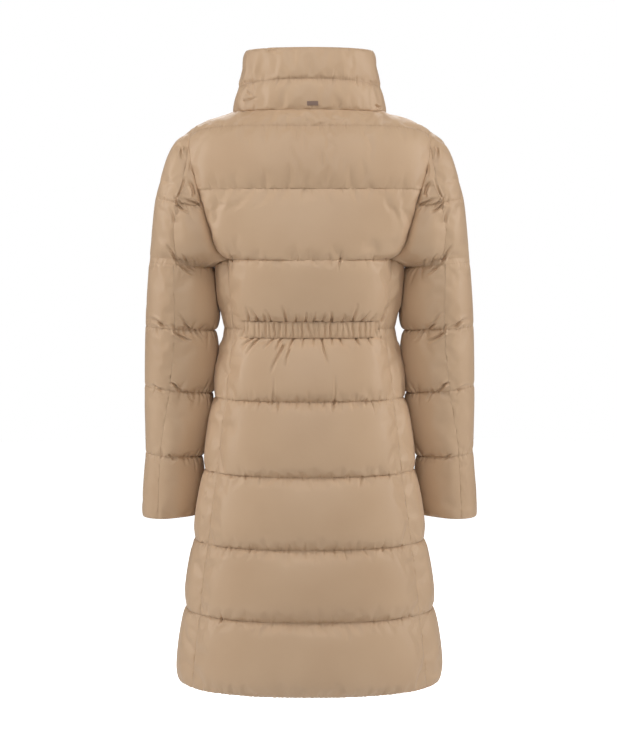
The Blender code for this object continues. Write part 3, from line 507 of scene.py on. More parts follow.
# %% Any point of the sleeve's head, beside the armhole
@lru_cache(maxsize=None)
def head_point(step, column):
    """Point of the left sleeve's inside beside the armhole, step rows above the armpit's."""
    level = LEVELS[ARMPIT_ROW + step]
    if step > HEAD_TOP_ROW:
        if column <= STRIP_ROWS:
            top = body_point(YOKE_ROW + column, BACK_COLUMNS)
        elif column <= UPPER_COLUMNS:
            top = body_point(YOKE_ROW + UPPER_COLUMNS - column, SIDE_END)
        else:
            top = body_point(YOKE_ROW, BACK_COLUMNS if column >= BACK_HORN else SIDE_END)
        return head_point(HEAD_TOP_ROW, column).lerp(top, (level - HEAD_TOP) / (YOKE - HEAD_TOP))
    rise = HEAD_RISE * math.sin(math.pi * (level - CHEST) / (YOKE - CHEST)) + HEAD_START
    outer = read(HEAD, "outer_x", level + rise)
    on_back = column <= UPPER_COLUMNS // 2 or column >= BACK_HORN
    x_edge, y_edge = back_edge(level) if on_back else front_edge(level)
    x_seam = min(max(read(HEAD, "seam_x", level + rise), x_edge), outer)
    seam = math.asin(min((x_seam - x_edge) / (outer - x_edge), 1.0) ** (HEAD_ROUNDNESS / 2))
    seam = 0.0 if step >= SEAM_TIP_ROW else seam
    middle = UPPER_COLUMNS // 2
    if column <= middle:
        turn = seam + (math.pi / 2 - seam) * column / middle
    elif column <= UPPER_COLUMNS:
        turn = math.pi / 2 + (seam - math.pi / 2) * (column - middle) / middle
    elif on_back:
        turn = seam * (column - BACK_HORN) / HORN_COLUMNS
    else:
        turn = seam * (FRONT_HORN - column) / HORN_COLUMNS
    across, along = math.sin(turn), max(math.cos(turn), 0.0)
    power = 2 / HEAD_ROUNDNESS
    swell = math.copysign(HEAD_BOW * across * along * max(1.0 - step / SEAM_TIP_ROW, 0.0), y_edge)
    return Vector((x_edge + (outer - x_edge) * across**power,
                   HEAD_MIDDLE + (y_edge - HEAD_MIDDLE) * along**power + swell,
                   level - edge_drop(level) + (rise + edge_drop(level) * 0.5) * across))


print("outside of the upper arm", [round(v, 3) for v in head_point(HEAD_TOP_ROW // 2, STRIP_ROWS)])


# %% Girth, thickness and seams of a sleeve
def ring_girth(row):
    """Distance once round the sleeve's inside."""
    ring = [ring_point(row, column) for column in range(RING_COLUMNS)]
    return sum((b - a).length for a, b in zip(ring, ring[1:] + ring[:1]))


def sleeve_fill(level, angle, lines, from_seam):
    """Height of a sleeve's outside over its inside."""
    inward = (1.0 - math.cos(angle)) / 2
    full = FILL_ARM_OUT + (FILL_ARM_IN - FILL_ARM_OUT) * min(inward * ARM_IN_GAIN, 1.0)
    rest = float(np.interp(level, *zip(*ARM_LIFT))) * (1.0 - min(inward * ARM_LIFT_LOSS, 1.0))
    down = rest + (1.0 - rest) * bulge(level, lines)
    down *= float(np.interp(level, HEAD_THIN_LEVELS, HEAD_THIN))
    return WALL + full * down * fade(from_seam, ARM_FADE, ARM_SEAM_FILL)


def seam_distance(row, column, place):
    """Distance along a row from a sleeve point to the nearer of the sleeve's seams."""
    here = place(row, column)
    return min((here - place(row, 0)).length, (here - place(row, UPPER_COLUMNS)).length)


print("girth at the cuff", round(ring_girth(0), 3), "and at the armpit",
      round(ring_girth(RING_ROWS - 1), 3))


# %% Any point of the collar
def collar_point(share, column):
    """Point of the collar's inside, and the height of the outside over it."""
    half_width = read(COLLAR, "half_width", share, "share")
    angle = neck_angle(column)
    back = math.cos(angle) > 0
    depth = read(COLLAR, "back_depth" if back else "front_depth", share, "share")
    back_z = read(COLLAR, "back_z", share, "share")
    end_z = back_z if back else read(COLLAR, "front_z", share, "share")
    side_z = back_z + NECK_SIDE.z * (1.0 - share)
    z = side_z + (end_z - side_z) * math.cos(angle) ** 2
    z -= COLLAR_DIP * math.sin(angle) ** 4 * 4.0 * share * (1.0 - share)
    point = Vector((half_width * math.sin(angle), depth * math.cos(angle), z))
    # the middle line is shallow at the sides, where the collar is bent most
    shallow = COLLAR_SIDE_LIFT * math.sin(angle) ** 2 if share == COLLAR_LINES[1] else 0.0
    down = max(bulge(share, COLLAR_LINES), shallow)
    fill = WALL + FILL_COLLAR * down * (0.5 + 0.5 * math.cos(angle) ** 2) * (
        1.0 if back else fade(abs(point.x)))
    return point, fill, channel_share(share, COLLAR_LINES)


print("collar's top at the back", [round(v, 3) for v in collar_point(1.0, 0)[0]])

# %% [markdown]
# ## One net for the whole coat
# Panels that are sewn together share the points of their seam. Separate panels would have to be
# pulled together by the simulation, which is slow and seldom closes. So every point gets a name,
# the named points get numbers, and each panel keeps a list of its faces. Each point also keeps
# how far up its channel it lies, for the sag of the down, and how far round the coat and how
# high it is, for the puckers and stitches that come later.


# %% A net with named points
BODY, SLEEVES, STAND = 0, 1, 2
HALF_GIRTH = {BODY: 0.70, SLEEVES: 0.17, STAND: 0.40}


class Net:
    """Numbered points with a fill height each, and faces that belong to panels."""

    def __init__(self):
        self.number, self.points, self.fills, self.shares = {}, [], [], []
        self.turn, self.height, self.sewn, self.sheet = [], [], [], []
        self.faces, self.owner, self.panels = [], [], []

    def add(self, key, point, fill, share, turn, height, sewn, sheet):
        """Number a new name; a name that is known can only become sewn."""
        if key in self.number:
            if sewn:
                self.sewn[self.number[key]] = True
            return
        self.number[key] = len(self.points)
        self.points.append(point)
        self.fills.append(fill)
        self.shares.append(share)
        self.turn.append(turn)
        self.height.append(height)
        self.sewn.append(sewn)
        self.sheet.append(sheet)

    def face(self, panel, keys):
        """Face of a panel between named points, without those that fall together."""
        numbers = [self.number[key] for key in keys]
        corners = [n for i, n in enumerate(numbers) if n != numbers[i - 1]]
        if len(set(corners)) < 3:
            return
        if panel not in self.panels:
            self.panels.append(panel)
        self.faces.append(tuple(corners))
        self.owner.append(self.panels.index(panel))


# %% The body's share of the net
def flipped(point, side):
    """The same point on the wearer's left (1) or right (-1)."""
    return Vector((point.x * side, point.y, point.z))


def body_key(side, row, column):
    """Name of a body point; the shoulder seam belongs to the back and the fronts."""
    if row == TOP_ROW and SIDE_END <= column <= SIDE_END + SHOULDER_COLUMNS:
        column = BACK_COLUMNS - (column - SIDE_END)
    return ("body", 0 if column == 0 else side, row, column)


def on_body_line(row, column):
    """Whether a point of the body lies on a quilting line or on the waist casing."""
    level = LEVELS[min(row, YOKE_ROW)]
    if row > YOKE_ROW:
        return row == TOP_ROW
    if column <= BAND_COLUMN and WAIST_LOW <= level <= WAIST_HIGH:
        return True
    return level in PLAIN_LINES


def add_body(net, side, name):
    """One half of the back, and one front."""
    for row in range(TOP_ROW + 1):
        around, before = 0.0, None
        for column in range(BODY_END + 1):
            if row > ARMPIT_ROW and BACK_COLUMNS < column < SIDE_END:
                continue
            point = body_point(row, column)
            around += (point - before).length if before else 0.0
            before = point
            level = LEVELS[min(row, YOKE_ROW)]
            lines = BANDED_LINES if column <= BAND_COLUMN else PLAIN_LINES
            share = channel_share(level, lines) if row <= YOKE_ROW else 1.0
            net.add(body_key(side, row, column), flipped(point, side),
                    body_fill(row, column, point), share,
                    side * around / HALF_GIRTH[BODY] * math.pi,
                    level + max(row - YOKE_ROW, 0) * GRID, on_body_line(row, column), BODY)
    for row in range(TOP_ROW):
        for column in range(BODY_END):
            if row >= ARMPIT_ROW and BACK_COLUMNS <= column < SIDE_END:
                continue
            keys = [body_key(side, row, column), body_key(side, row + 1, column),
                    body_key(side, row + 1, column + 1), body_key(side, row, column + 1)]
            net.face("back" if column < BACK_COLUMNS else "front_" + name, keys[::side])


# %% The sleeves' share of the net
def sleeve_key(side, row, column):
    """Name of a sleeve point; points on the armhole are the body's own."""
    column %= RING_COLUMNS
    step = row - RING_ROWS
    if step < 0:
        return ("sleeve", side, row, column)
    body_row = ARMPIT_ROW + step
    if FRONT_HORN <= column <= BACK_HORN:
        return body_key(side, body_row, SIDE_END - (column - FRONT_HORN))
    if step >= SEAM_TIP_ROW and (column == 0 or column > BACK_HORN):
        return body_key(side, body_row, BACK_COLUMNS)
    if step >= SEAM_TIP_ROW and UPPER_COLUMNS <= column < FRONT_HORN:
        return body_key(side, body_row, SIDE_END)
    if body_row == YOKE_ROW:
        if column <= STRIP_ROWS:
            return body_key(side, YOKE_ROW + column, BACK_COLUMNS)
        return body_key(side, YOKE_ROW + UPPER_COLUMNS - column, SIDE_END)
    return ("sleeve", side, row, column)


# columns each way on the outside of the sleeve where its top line isn't sewn, and the angle at
# which the sleeve's own seams lie beside the armhole
BICEP_OPEN, HEAD_SEAM_DEG = 9, 80


def add_sleeve(net, side, name):
    """The upper and the under part of one sleeve."""
    last_row = RING_ROWS + YOKE_ROW - ARMPIT_ROW
    for row in range(last_row + 1):
        step = row - RING_ROWS
        around, before, girth = 0.0, None, ring_girth(row) if step < 0 else None
        for column in range(RING_COLUMNS):
            if step >= 0 and FRONT_HORN < column < BACK_HORN:
                continue
            place, index = (ring_point, row) if step < 0 else (head_point, step)
            point = place(index, column)
            around += (point - before).length if before else 0.0
            before = point
            key = sleeve_key(side, row, column)
            if key[0] == "body":
                continue
            if step < 0:
                level, lines = SLEEVE_LEVELS[row], SLEEVE_LINES
                angle = ring_angle(column, level)
            else:
                level, lines = LEVELS[ARMPIT_ROW + step], HEAD_LINES
                angle = math.radians(abs(column - STRIP_ROWS) * HEAD_SEAM_DEG / STRIP_ROWS)
            fill = sleeve_fill(level, angle, lines, seam_distance(index, column, place))
            turn = math.pi * (2 * around / (girth or 2 * HALF_GIRTH[SLEEVES]) - 1.0)
            outside = abs(column - STRIP_ROWS) <= BICEP_OPEN
            tight = level in SLEEVE_LINES or (level == BICEP and not outside)
            net.add(key, flipped(point, side), fill, channel_share(level, lines), turn, level,
                    tight, SLEEVES)
    for row in range(last_row):
        for column in range(RING_COLUMNS):
            if row >= RING_ROWS and FRONT_HORN <= column < BACK_HORN:
                continue
            keys = [sleeve_key(side, row, column), sleeve_key(side, row + 1, column),
                    sleeve_key(side, row + 1, column + 1), sleeve_key(side, row, column + 1)]
            panel = "sleeve_upper_" if column < UPPER_COLUMNS else "sleeve_under_"
            net.face(panel + name, keys[::side])


# %% The collar's share of the net
def collar_key(side, row, column):
    """Name of a collar point; its foot is the body's neck seam."""
    if row == 0:
        return body_key(side, TOP_ROW, column)
    return ("collar", 0 if column == 0 else side, row, column)


def behind_plate(point):
    """Whether a point lies where the plate holds the collar's cloth down."""
    aside = max(abs(point.x - PLATE_X) - PLATE_WIDE / 2, 0.0)
    return point.y > 0 and math.hypot(aside, point.z - PLATE_Z) < PLATE_HOLD


COLLAR_COLUMNS = (list(range(NECK_COLUMNS + 1))
                  + list(range(SIDE_END + SHOULDER_COLUMNS + 1, BODY_END + 1)))


def add_collar(net, side):
    """One half of the stand collar."""
    for row, share in enumerate(COLLAR_STEPS[1:], start=1):
        around, before = 0.0, None
        for column in COLLAR_COLUMNS:
            point, fill, channel = collar_point(share, column)
            around += (point - before).length if before else 0.0
            before = point
            net.add(collar_key(side, row, column), flipped(point, side), fill, channel,
                    side * around / HALF_GIRTH[STAND] * math.pi, share * COLLAR_HEIGHT,
                    share in COLLAR_LINES or behind_plate(point), STAND)
    for row in range(len(COLLAR_STEPS) - 1):
        for first, last in zip(COLLAR_COLUMNS, COLLAR_COLUMNS[1:]):
            keys = [collar_key(side, row, first), collar_key(side, row + 1, first),
                    collar_key(side, row + 1, last), collar_key(side, row, last)]
            net.face("collar", keys[::side])


# %% Weave the net
SIDES = {"left": 1, "right": -1}
net = Net()
for side_name, side_sign in SIDES.items():
    add_body(net, side_sign, side_name)
    add_sleeve(net, side_sign, side_name)
    add_collar(net, side_sign)
INNER = np.array([tuple(p) for p in net.points])
FILL = np.array(net.fills)
OWNER = np.array(net.owner)
SHEET = np.array(net.sheet)
SHARE = np.array(net.shares)
print("net:", len(INNER), "points,", len(net.faces), "faces,", len(net.panels), "panels")


# %% Directions out of the cloth
def mean_normals(points, faces):
    """Mean outward direction at each point."""
    total = np.zeros_like(points)
    for size in (3, 4):
        group = np.array([f for f in faces if len(f) == size])
        if not len(group):
            continue
        corner = points[group]
        along = corner[:, 3] - corner[:, 1] if size == 4 else corner[:, 2] - corner[:, 1]
        normal = np.cross(corner[:, 2] - corner[:, 0], along)
        normal /= np.maximum(np.linalg.norm(normal, axis=1, keepdims=True), 1e-12)
        for k in range(size):
            np.add.at(total, group[:, k], normal)
    return total / np.maximum(np.linalg.norm(total, axis=1, keepdims=True), 1e-12)


# %% The armhole seams lie in a valley: the sleeve dips under the edge of the back
VALLEY_DEEP, VALLEY_WIDE, VALLEY_EDGE = 0.013, 0.016, 0.005
VALLEY_FOOT, VALLEY_TOP, VALLEY_FLANK = 0.03, 0.05, 0.05
TURN_IN, TURN_ABOVE, TURN_RUN, TURN_PAST_MIDDLE = 0.026, 0.02, 0.04, 0.15


def valley(points):
    """Move of each point towards the coat's middle plane, largest on the armhole seams."""
    moves = np.zeros_like(points)
    for i, (x, y, z) in enumerate(points):
        if not CHEST - VALLEY_FOOT < z < ARM_SMOOTH:
            continue
        seam_x = (back_edge if y > 0 else front_edge)(round(max(z, CHEST + 1e-4), 4))[0]
        past = abs(x) - seam_x
        near = math.exp(-past / VALLEY_WIDE) if past > 0 else math.exp(past / VALLEY_EDGE)
        reach = min(1.0, (ARM_SMOOTH - z) / VALLEY_TOP, (z - CHEST + VALLEY_FOOT) / VALLEY_FOOT,
                    abs(y) / VALLEY_FLANK)
        moves[i, 1] = -math.copysign(VALLEY_DEEP * near * reach, y)
    return moves


def turned_in(points):
    """Move that lets the hanging sleeves fall away towards the body, as a soft tube does."""
    moves = np.zeros_like(points)
    top = CHEST + TURN_ABOVE
    for i in np.where((SHEET == SLEEVES) & (points[:, 2] < top))[0]:
        x, y, z = points[i]
        level = round(min(z, SLEEVE[-1].level), 4)
        width, depth = (read(SLEEVE, column, level) for column in ("half_width", "half_depth"))
        inward = (read(SLEEVE, "centre_x", level) - abs(x)) / width
        behind = (y - read(SLEEVE, "centre_y", level)) / depth
        share = clamped((inward + TURN_PAST_MIDDLE) / (1.0 + TURN_PAST_MIDDLE)) * clamped(behind)
        moves[i, 1] = -TURN_IN * share * clamped((top - z) / TURN_RUN)
    return moves


before = INNER
INNER = INNER + valley(INNER)
INNER = INNER + turned_in(INNER)
print("points drawn in:", int((INNER != before).any(axis=1).sum()))

# %% Which edges are seams, and which points are sewn down
edge_use = {}
for face, panel in zip(net.faces, net.owner):
    for a, b in zip(face, face[1:] + face[:1]):
        edge_use.setdefault((min(a, b), max(a, b)), []).append(panel)
SEAM_EDGES = {e for e, users in edge_use.items() if len(users) == 1 or len(set(users)) == 2}
sewn = np.array(net.sewn)
SEAM_POINTS = np.zeros(len(sewn), bool)
SEAM_POINTS[[n for e in SEAM_EDGES for n in e]] = True
PINNED = sewn | SEAM_POINTS
print("pinned", int(PINNED.sum()), "of", len(PINNED))

# %% The cloth runs smoothly over the armhole's top and from the collar's sides to the shoulders
ENDS = np.array(list(edge_use))
Patch = namedtuple("Patch", "x_from x_to z_from reach most")
ARM_TOP = Patch(0.19, 1.0, ARM_SMOOTH - 0.02, 0.032, 1.0)
NECK_FLANK = Patch(0.118, 0.135, -0.010, 0.012, 0.8)
EVEN_GAIN, EVEN_RUN, EVEN_OUTSIDE = 1.6, 0.03, 0.15


def smooth_weight():
    """How much each point may be evened out, from 0 to 1: most on the seams of two patches."""
    weight = np.zeros(len(INNER))
    for n in np.where(SEAM_POINTS)[0]:
        x, z = abs(INNER[n, 0]), INNER[n, 2]
        patches = [p for p in (ARM_TOP, NECK_FLANK) if p.x_from < x < p.x_to and z > p.z_from]
        if patches:
            gap = np.linalg.norm(INNER - INNER[n], axis=1)
            near = np.clip(1.0 - gap / patches[0].reach, 0.0, 1.0)
            weight = np.maximum(weight, patches[0].most * near)
    above = np.clip((INNER[:, 2] - ARM_SMOOTH + EVEN_RUN) / EVEN_RUN, 0.0, 1.0)
    return np.minimum(1.0, weight * EVEN_GAIN) * above * (np.abs(INNER[:, 0]) > 0.1)


def evened(points, weight, rounds=8):
    """Each weighted point moves towards the middle of its neighbours, again and again."""
    points = points.copy()
    count = np.zeros(len(points))
    np.add.at(count, ENDS[:, 0], 1)
    np.add.at(count, ENDS[:, 1], 1)
    for _ in range(rounds):
        total = np.zeros_like(points)
        np.add.at(total, ENDS[:, 0], points[ENDS[:, 1]])
        np.add.at(total, ENDS[:, 1], points[ENDS[:, 0]])
        points += (total / count[:, None] - points) * (0.5 * weight)[:, None]
    return points


# %% The inside, and the outside with the down under it
EVEN = smooth_weight()
INNER = evened(INNER, EVEN)
NORMAL = mean_normals(INNER, net.faces)
FULL = np.maximum(FILL - WALL, 0.0) * START_FILL
LEVEL_REACH, COLLAR_DROOP = 0.03, 0.3
# near the chest line the down pushes straight out, so that the line stays level
level_off = np.exp(-(((np.array(net.height) - CHEST) / LEVEL_REACH) ** 2)) * (SHEET == BODY)
OUTER = INNER + NORMAL * (WALL + FULL)[:, None] * (1 - level_off[:, None] * [[0, 0, 1]])
OUTER[:, 2] -= DROOP * FULL * (1.0 - SHARE) * np.where(SHEET == STAND, COLLAR_DROOP, 1.0)
OUTER = evened(OUTER, EVEN * (INNER[:, 0] ** 2 > EVEN_OUTSIDE**2), 4)
print("evened points", int((EVEN > 0).sum()), "thickest down %.1f mm" % (FULL.max() * 1e3))


# %% Keep the hanging sleeves clear of the body
def body_half_width_at(points):
    """Half width of the body's outside at each point's height and depth."""
    widths = np.empty(len(points))
    for i, (x, y, z) in enumerate(points):
        off = WALL + FILL_SIDE * bulge(z, PLAIN_LINES)
        depth = read(BODY_TABLE, "back_depth" if y > 0 else "front_depth", round(z, 4)) + off
        half_width = read(BODY_TABLE, "half_width", round(z, 4)) + off
        share = min(abs(y) / depth, 1.0)
        widths[i] = half_width * (1.0 - share**ROUNDNESS) ** (1.0 / ROUNDNESS)
    return widths


hanging = np.where((SHEET == SLEEVES) & (OUTER[:, 2] < SLEEVE_FREE))[0]
least = body_half_width_at(OUTER[hanging]) + CLEAR
x = OUTER[hanging, 0]
OUTER[hanging, 0] = np.sign(x) * np.maximum(np.abs(x), least)
print("hanging points kept", CLEAR, "m off the body:", int((np.abs(x) < least).sum()))

# %% [markdown]
# ## Blowing the coat up
# The real cloth is cut longer than the distance between its sewn lines, and the down pushes the
# extra length out. The simulation does the same: every sewn point is pinned, the cloth is a few
# per cent longer than the net, and a gentle pressure acts from inside. Buckles and creases at
# the seams come by themselves, each one a little different. A cap keeps every point near its
# solid, and sleeves and body may each use only half of the room between them.

# %% A new object, and one value of all points, faces or corners of a mesh
def new_object(name, data):
    """Object in the scene, made of this data."""
    made = bpy.data.objects.new(name, data)
    bpy.context.scene.collection.objects.link(made)
    return made


def read_all(things, name, size=1, kind=float):
    """Array of one value of each thing."""
    values = np.empty(len(things) * size, kind)
    things.foreach_get(name, values)
    return values.reshape(-1, size) if size > 1 else values


# %% The simulation
SIM_FRAMES = 22
PRESSURE, EXTRA_CLOTH = 5.0, 0.030
SHAKE, SHAKE_FINE = 0.0006, 60.0
MOST_PUFF, ARM_PUFF, TIP_PUFF, LEAST_ROOM = 0.0036, 0.0024, 0.0008, 0.0012
OUTER_ARM_X, WAIST_FLANK_X, WAIST_FLANK_HALF, TIP_REACH = 0.255, 0.135, 0.03, 0.05


def puff_up(points, faces, pinned):
    """Blender's cloth with pressure, run on the whole net; gives the new points."""
    mesh = bpy.data.meshes.new("puff")
    shake = np.array([noise.noise(Vector(p) * SHAKE_FINE) for p in points]) * SHAKE
    start = points + NORMAL * np.where(pinned, 0.0, shake)[:, None]
    mesh.from_pydata(start.tolist(), [], faces)
    coat = new_object("puff", mesh)
    group = coat.vertex_groups.new(name="sewn")
    group.add([int(n) for n in np.where(pinned)[0]], 1.0, "REPLACE")
    cloth = coat.modifiers.new("down", "CLOTH")
    settings = cloth.settings
    settings.quality = 4
    settings.mass = 0.15
    settings.air_damping = 4.0
    settings.tension_stiffness = settings.compression_stiffness = 18.0
    settings.shear_stiffness = 6.0
    settings.bending_stiffness = 0.45
    settings.vertex_group_mass = "sewn"
    settings.use_pressure = True
    settings.uniform_pressure_force = PRESSURE
    settings.shrink_min = -EXTRA_CLOTH
    settings.effector_weights.gravity = 0.0
    cloth.collision_settings.use_collision = False
    cloth.point_cache.frame_start, cloth.point_cache.frame_end = 1, SIM_FRAMES
    for number in range(1, SIM_FRAMES + 1):
        bpy.context.scene.frame_set(number)
    settled = coat.evaluated_get(bpy.context.evaluated_depsgraph_get())
    moved = read_all(settled.data.vertices, "co", 3)
    bpy.context.scene.frame_set(1)
    bpy.data.objects.remove(coat)
    return moved


# %% How far the cloth may move
FAR, LOOK_AROUND = 1.0, 0.03


def room_between(points, faces, sheets):
    """Distance from each sleeve point to the body, and from each body point to the sleeves."""
    room = np.full(len(points), FAR)
    kind = np.array([sheets[f[0]] == SLEEVES and sheets[f[2]] == SLEEVES for f in faces])
    low = points[:, 2] < SLEEVE_FREE
    for mine, other in ((sheets == SLEEVES, ~kind), (sheets == BODY, kind)):
        chosen = [f for f, use in zip(faces, other) if use and all(low[n] for n in f)]
        tree = BVHTree.FromPolygons(points.tolist(), chosen)
        near = mine & low & (np.abs(points[:, 0]) > 0.1)
        for n in np.where(near)[0]:
            hit = tree.find_nearest(points[n], LOOK_AROUND)
            if hit[0] is not None:
                room[n] = hit[3]
    return room


def puff_cap():
    """How far each point may be blown: little on the outer sleeve, waist and shoulder tip."""
    aside = np.abs(OUTER[:, 0])
    most = np.where(SHEET == SLEEVES, ARM_PUFF, MOST_PUFF)
    most = np.where((SHEET == SLEEVES) & (aside > OUTER_ARM_X), TIP_PUFF, most)
    by_waist = (np.abs(OUTER[:, 2] - WAIST) < WAIST_FLANK_HALF) & (aside > WAIST_FLANK_X)
    most = np.where((SHEET == BODY) & by_waist, TIP_PUFF, most)
    from_tip = np.linalg.norm((np.abs(OUTER) - np.abs(np.array(SHOULDER_TIP))) / TIP_REACH, axis=1)
    most = TIP_PUFF + (most - TIP_PUFF) * np.clip(from_tip - 0.3, 0.0, 1.0)
    room = room_between(OUTER, net.faces, SHEET)
    return np.minimum(most, np.maximum((room - LEAST_ROOM) / 2, 0.0))


# %% Run it
step = puff_up(OUTER, net.faces, PINNED) - OUTER
length = np.linalg.norm(step, axis=1)
share = np.minimum(1.0, puff_cap() / np.maximum(length, 1e-9))
OUTER = OUTER + step * share[:, None]
print("puffed by up to %.1f mm, on average %.1f mm" % (length.max() * 1e3, length.mean() * 1e3))

# %% [markdown]
# ## From the net to fine cloth
# Two levels of Catmull-Clark subdivision round the cloth between the net's points. Sewn lines get
# an edge crease, which keeps them sharp. The subdivision keeps the net's own points first, then
# three points per edge, so the inside and the rim of each panel can be joined to it afterwards.


# %% Subdivide the outside
FINER, LINE_CREASE = 2, 0.8
PER_EDGE = 2**FINER - 1


def fine_outside(points):
    """Fine points, fine faces with their panel, and the values carried over to them."""
    mesh = bpy.data.meshes.new("fine")
    mesh.from_pydata(points.tolist(), [], net.faces)
    mesh.polygons.foreach_set("material_index", OWNER.astype(np.int32))
    carried = {"cos": np.cos(net.turn), "sin": np.sin(net.turn), "height": net.height,
               "sheet": SHEET, "thick": np.linalg.norm(points - INNER, axis=1)}
    for name, values in carried.items():
        layer = mesh.attributes.new(name, "FLOAT", "POINT")
        layer.data.foreach_set("value", np.array(values, np.float32))
    crease = mesh.attributes.new("crease_edge", "FLOAT", "EDGE")
    ends = read_all(mesh.edges, "vertices", 2, np.int32)
    sharp = PINNED[ends[:, 0]] & PINNED[ends[:, 1]]
    crease.data.foreach_set("value", sharp.astype(np.float32) * LINE_CREASE)
    thing = new_object("fine", mesh)
    finer = thing.modifiers.new("finer", "SUBSURF")
    finer.levels = finer.render_levels = FINER
    made = thing.evaluated_get(bpy.context.evaluated_depsgraph_get()).data
    co = read_all(made.vertices, "co", 3)
    loops = read_all(made.loops, "vertex_index", 1, np.int64)
    owner = read_all(made.polygons, "material_index", 1, np.int32)
    for name in carried:
        carried[name] = read_all(made.attributes[name].data, "value", 1, np.float32)
    middle = {}
    for i, (a, b) in enumerate(ends.tolist()):
        run = [len(points) + i * PER_EDGE + k for k in range(PER_EDGE)]
        middle[a, b], middle[b, a] = run, run[::-1]
    bpy.data.objects.remove(thing)
    return co, loops.reshape(-1, 4), owner, carried, middle


FINE, QUADS, FINE_OWNER, CARRIED, MIDDLE = fine_outside(OUTER)
print("fine cloth:", len(FINE), "points,", len(QUADS), "faces")


# %% Directions on the fine cloth, and how far round the coat each point lies
def quad_normals(points, quads):
    """Mean outward direction at each point of a mesh of quads."""
    corner = points[quads]
    normal = np.cross(corner[:, 2] - corner[:, 0], corner[:, 3] - corner[:, 1])
    total = np.zeros_like(points)
    for k in range(4):
        np.add.at(total, quads[:, k], normal)
    return total / np.maximum(np.linalg.norm(total, axis=1, keepdims=True), 1e-12)


FINE_NORMAL = quad_normals(FINE, QUADS)
SHEET_VALUE, HEIGHT = CARRIED["sheet"], CARRIED["height"]
FINE_SHEET = np.where(np.abs(SHEET_VALUE - np.round(SHEET_VALUE)) < 0.01,
                      np.round(SHEET_VALUE), -1).astype(int)
GIRTHS = np.array([HALF_GIRTH[max(k, 0)] for k in FINE_SHEET])
AROUND = np.arctan2(CARRIED["sin"], CARRIED["cos"]) / math.pi * GIRTHS
print("points on the body, sleeves and collar",
      [int((FINE_SHEET == sheet).sum()) for sheet in (BODY, SLEEVES, STAND)])

# %% How near each point is to a sewn line, for the ripples and for the painted shade of the nylon
LINES_OF = {BODY: PLAIN_LINES[:-1], SLEEVES: SLEEVE_LINES + (BICEP,),
            STAND: tuple(share * COLLAR_HEIGHT for share in COLLAR_LINES)}
LINE_REACH, FAINT_SLEEVE, FAINTEST = 0.009, 0.1, 0.2
NEAR_LINE = np.zeros(len(FINE))
for sheet, lines in LINES_OF.items():
    gap = np.min([np.abs(HEIGHT - line) for line in lines], axis=0)
    faint = np.interp(HEIGHT, *zip(*LINE_LIFT)) if sheet == BODY else FAINT_SLEEVE
    NEAR_LINE = np.where(FINE_SHEET == sheet, np.exp(-gap / LINE_REACH) * (1 - faint), NEAR_LINE)
# on the outside of the sleeves the lines are shallow, and their painted shade fades out
UPPER_ARM, UPPER_END, UPPER_FADE, LOWER_END, LOWER_FADE = CHEST + 0.05, 0.246, 0.02, 0.262, 0.03
aside = np.abs(FINE[:, 0])
strong = np.where(HEIGHT > UPPER_ARM, (UPPER_END - aside) / UPPER_FADE,
                  (LOWER_END - aside) / LOWER_FADE)
NEAR_LINE *= np.where(FINE_SHEET == SLEEVES, np.clip(strong, FAINTEST, 1.0), 1.0)
print("points close to a sewn line", int((NEAR_LINE > 0.5).sum()))

# %% [markdown]
# ## Puckers along the sewn lines
# Where a thread pulls padded cloth together it gathers in short creases square to the seam. The
# simulated net is too coarse to show them, so each line gets its own run of creases on the fine
# cloth: uneven in spacing, length, depth and lean, drawn from a seeded random stream so that the
# coat is the same each time. A crease is a soft trough, deepest a few millimetres from the thread
# and gone within four centimetres.

# %% A run of puckers
Pucker = namedtuple("Pucker", "spacing shortest longest depth width")
CRINKLE = Pucker(0.0062, 0.004, 0.013, 0.0018, 0.0016)
CALM = Pucker(0.020, 0.008, 0.026, 0.0026, 0.0019)
TIGHT = Pucker(0.012, 0.010, 0.030, 0.0032, 0.0019)
UNDER_ARM = Pucker(0.011, 0.012, 0.042, 0.0042, 0.0024)
# how much one pucker may differ from its kind
SPACING_RANGE, DEPTH_RANGE = (0.45, 1.7), (0.35, 1.3)
WIDTH_RANGE, LENGTH_RANGE = (0.8, 1.4), (0.4, 1.0)
MOST_LEAN, AT_THREAD, THREAD_RUN, PUCKER_DEEP, PUCKER_FAINT = 0.35, 0.3, 0.004, 0.8, 0.55
push = np.zeros(len(FINE))
print("mean distance between puckers", CRINKLE.spacing, CALM.spacing, TIGHT.spacing)


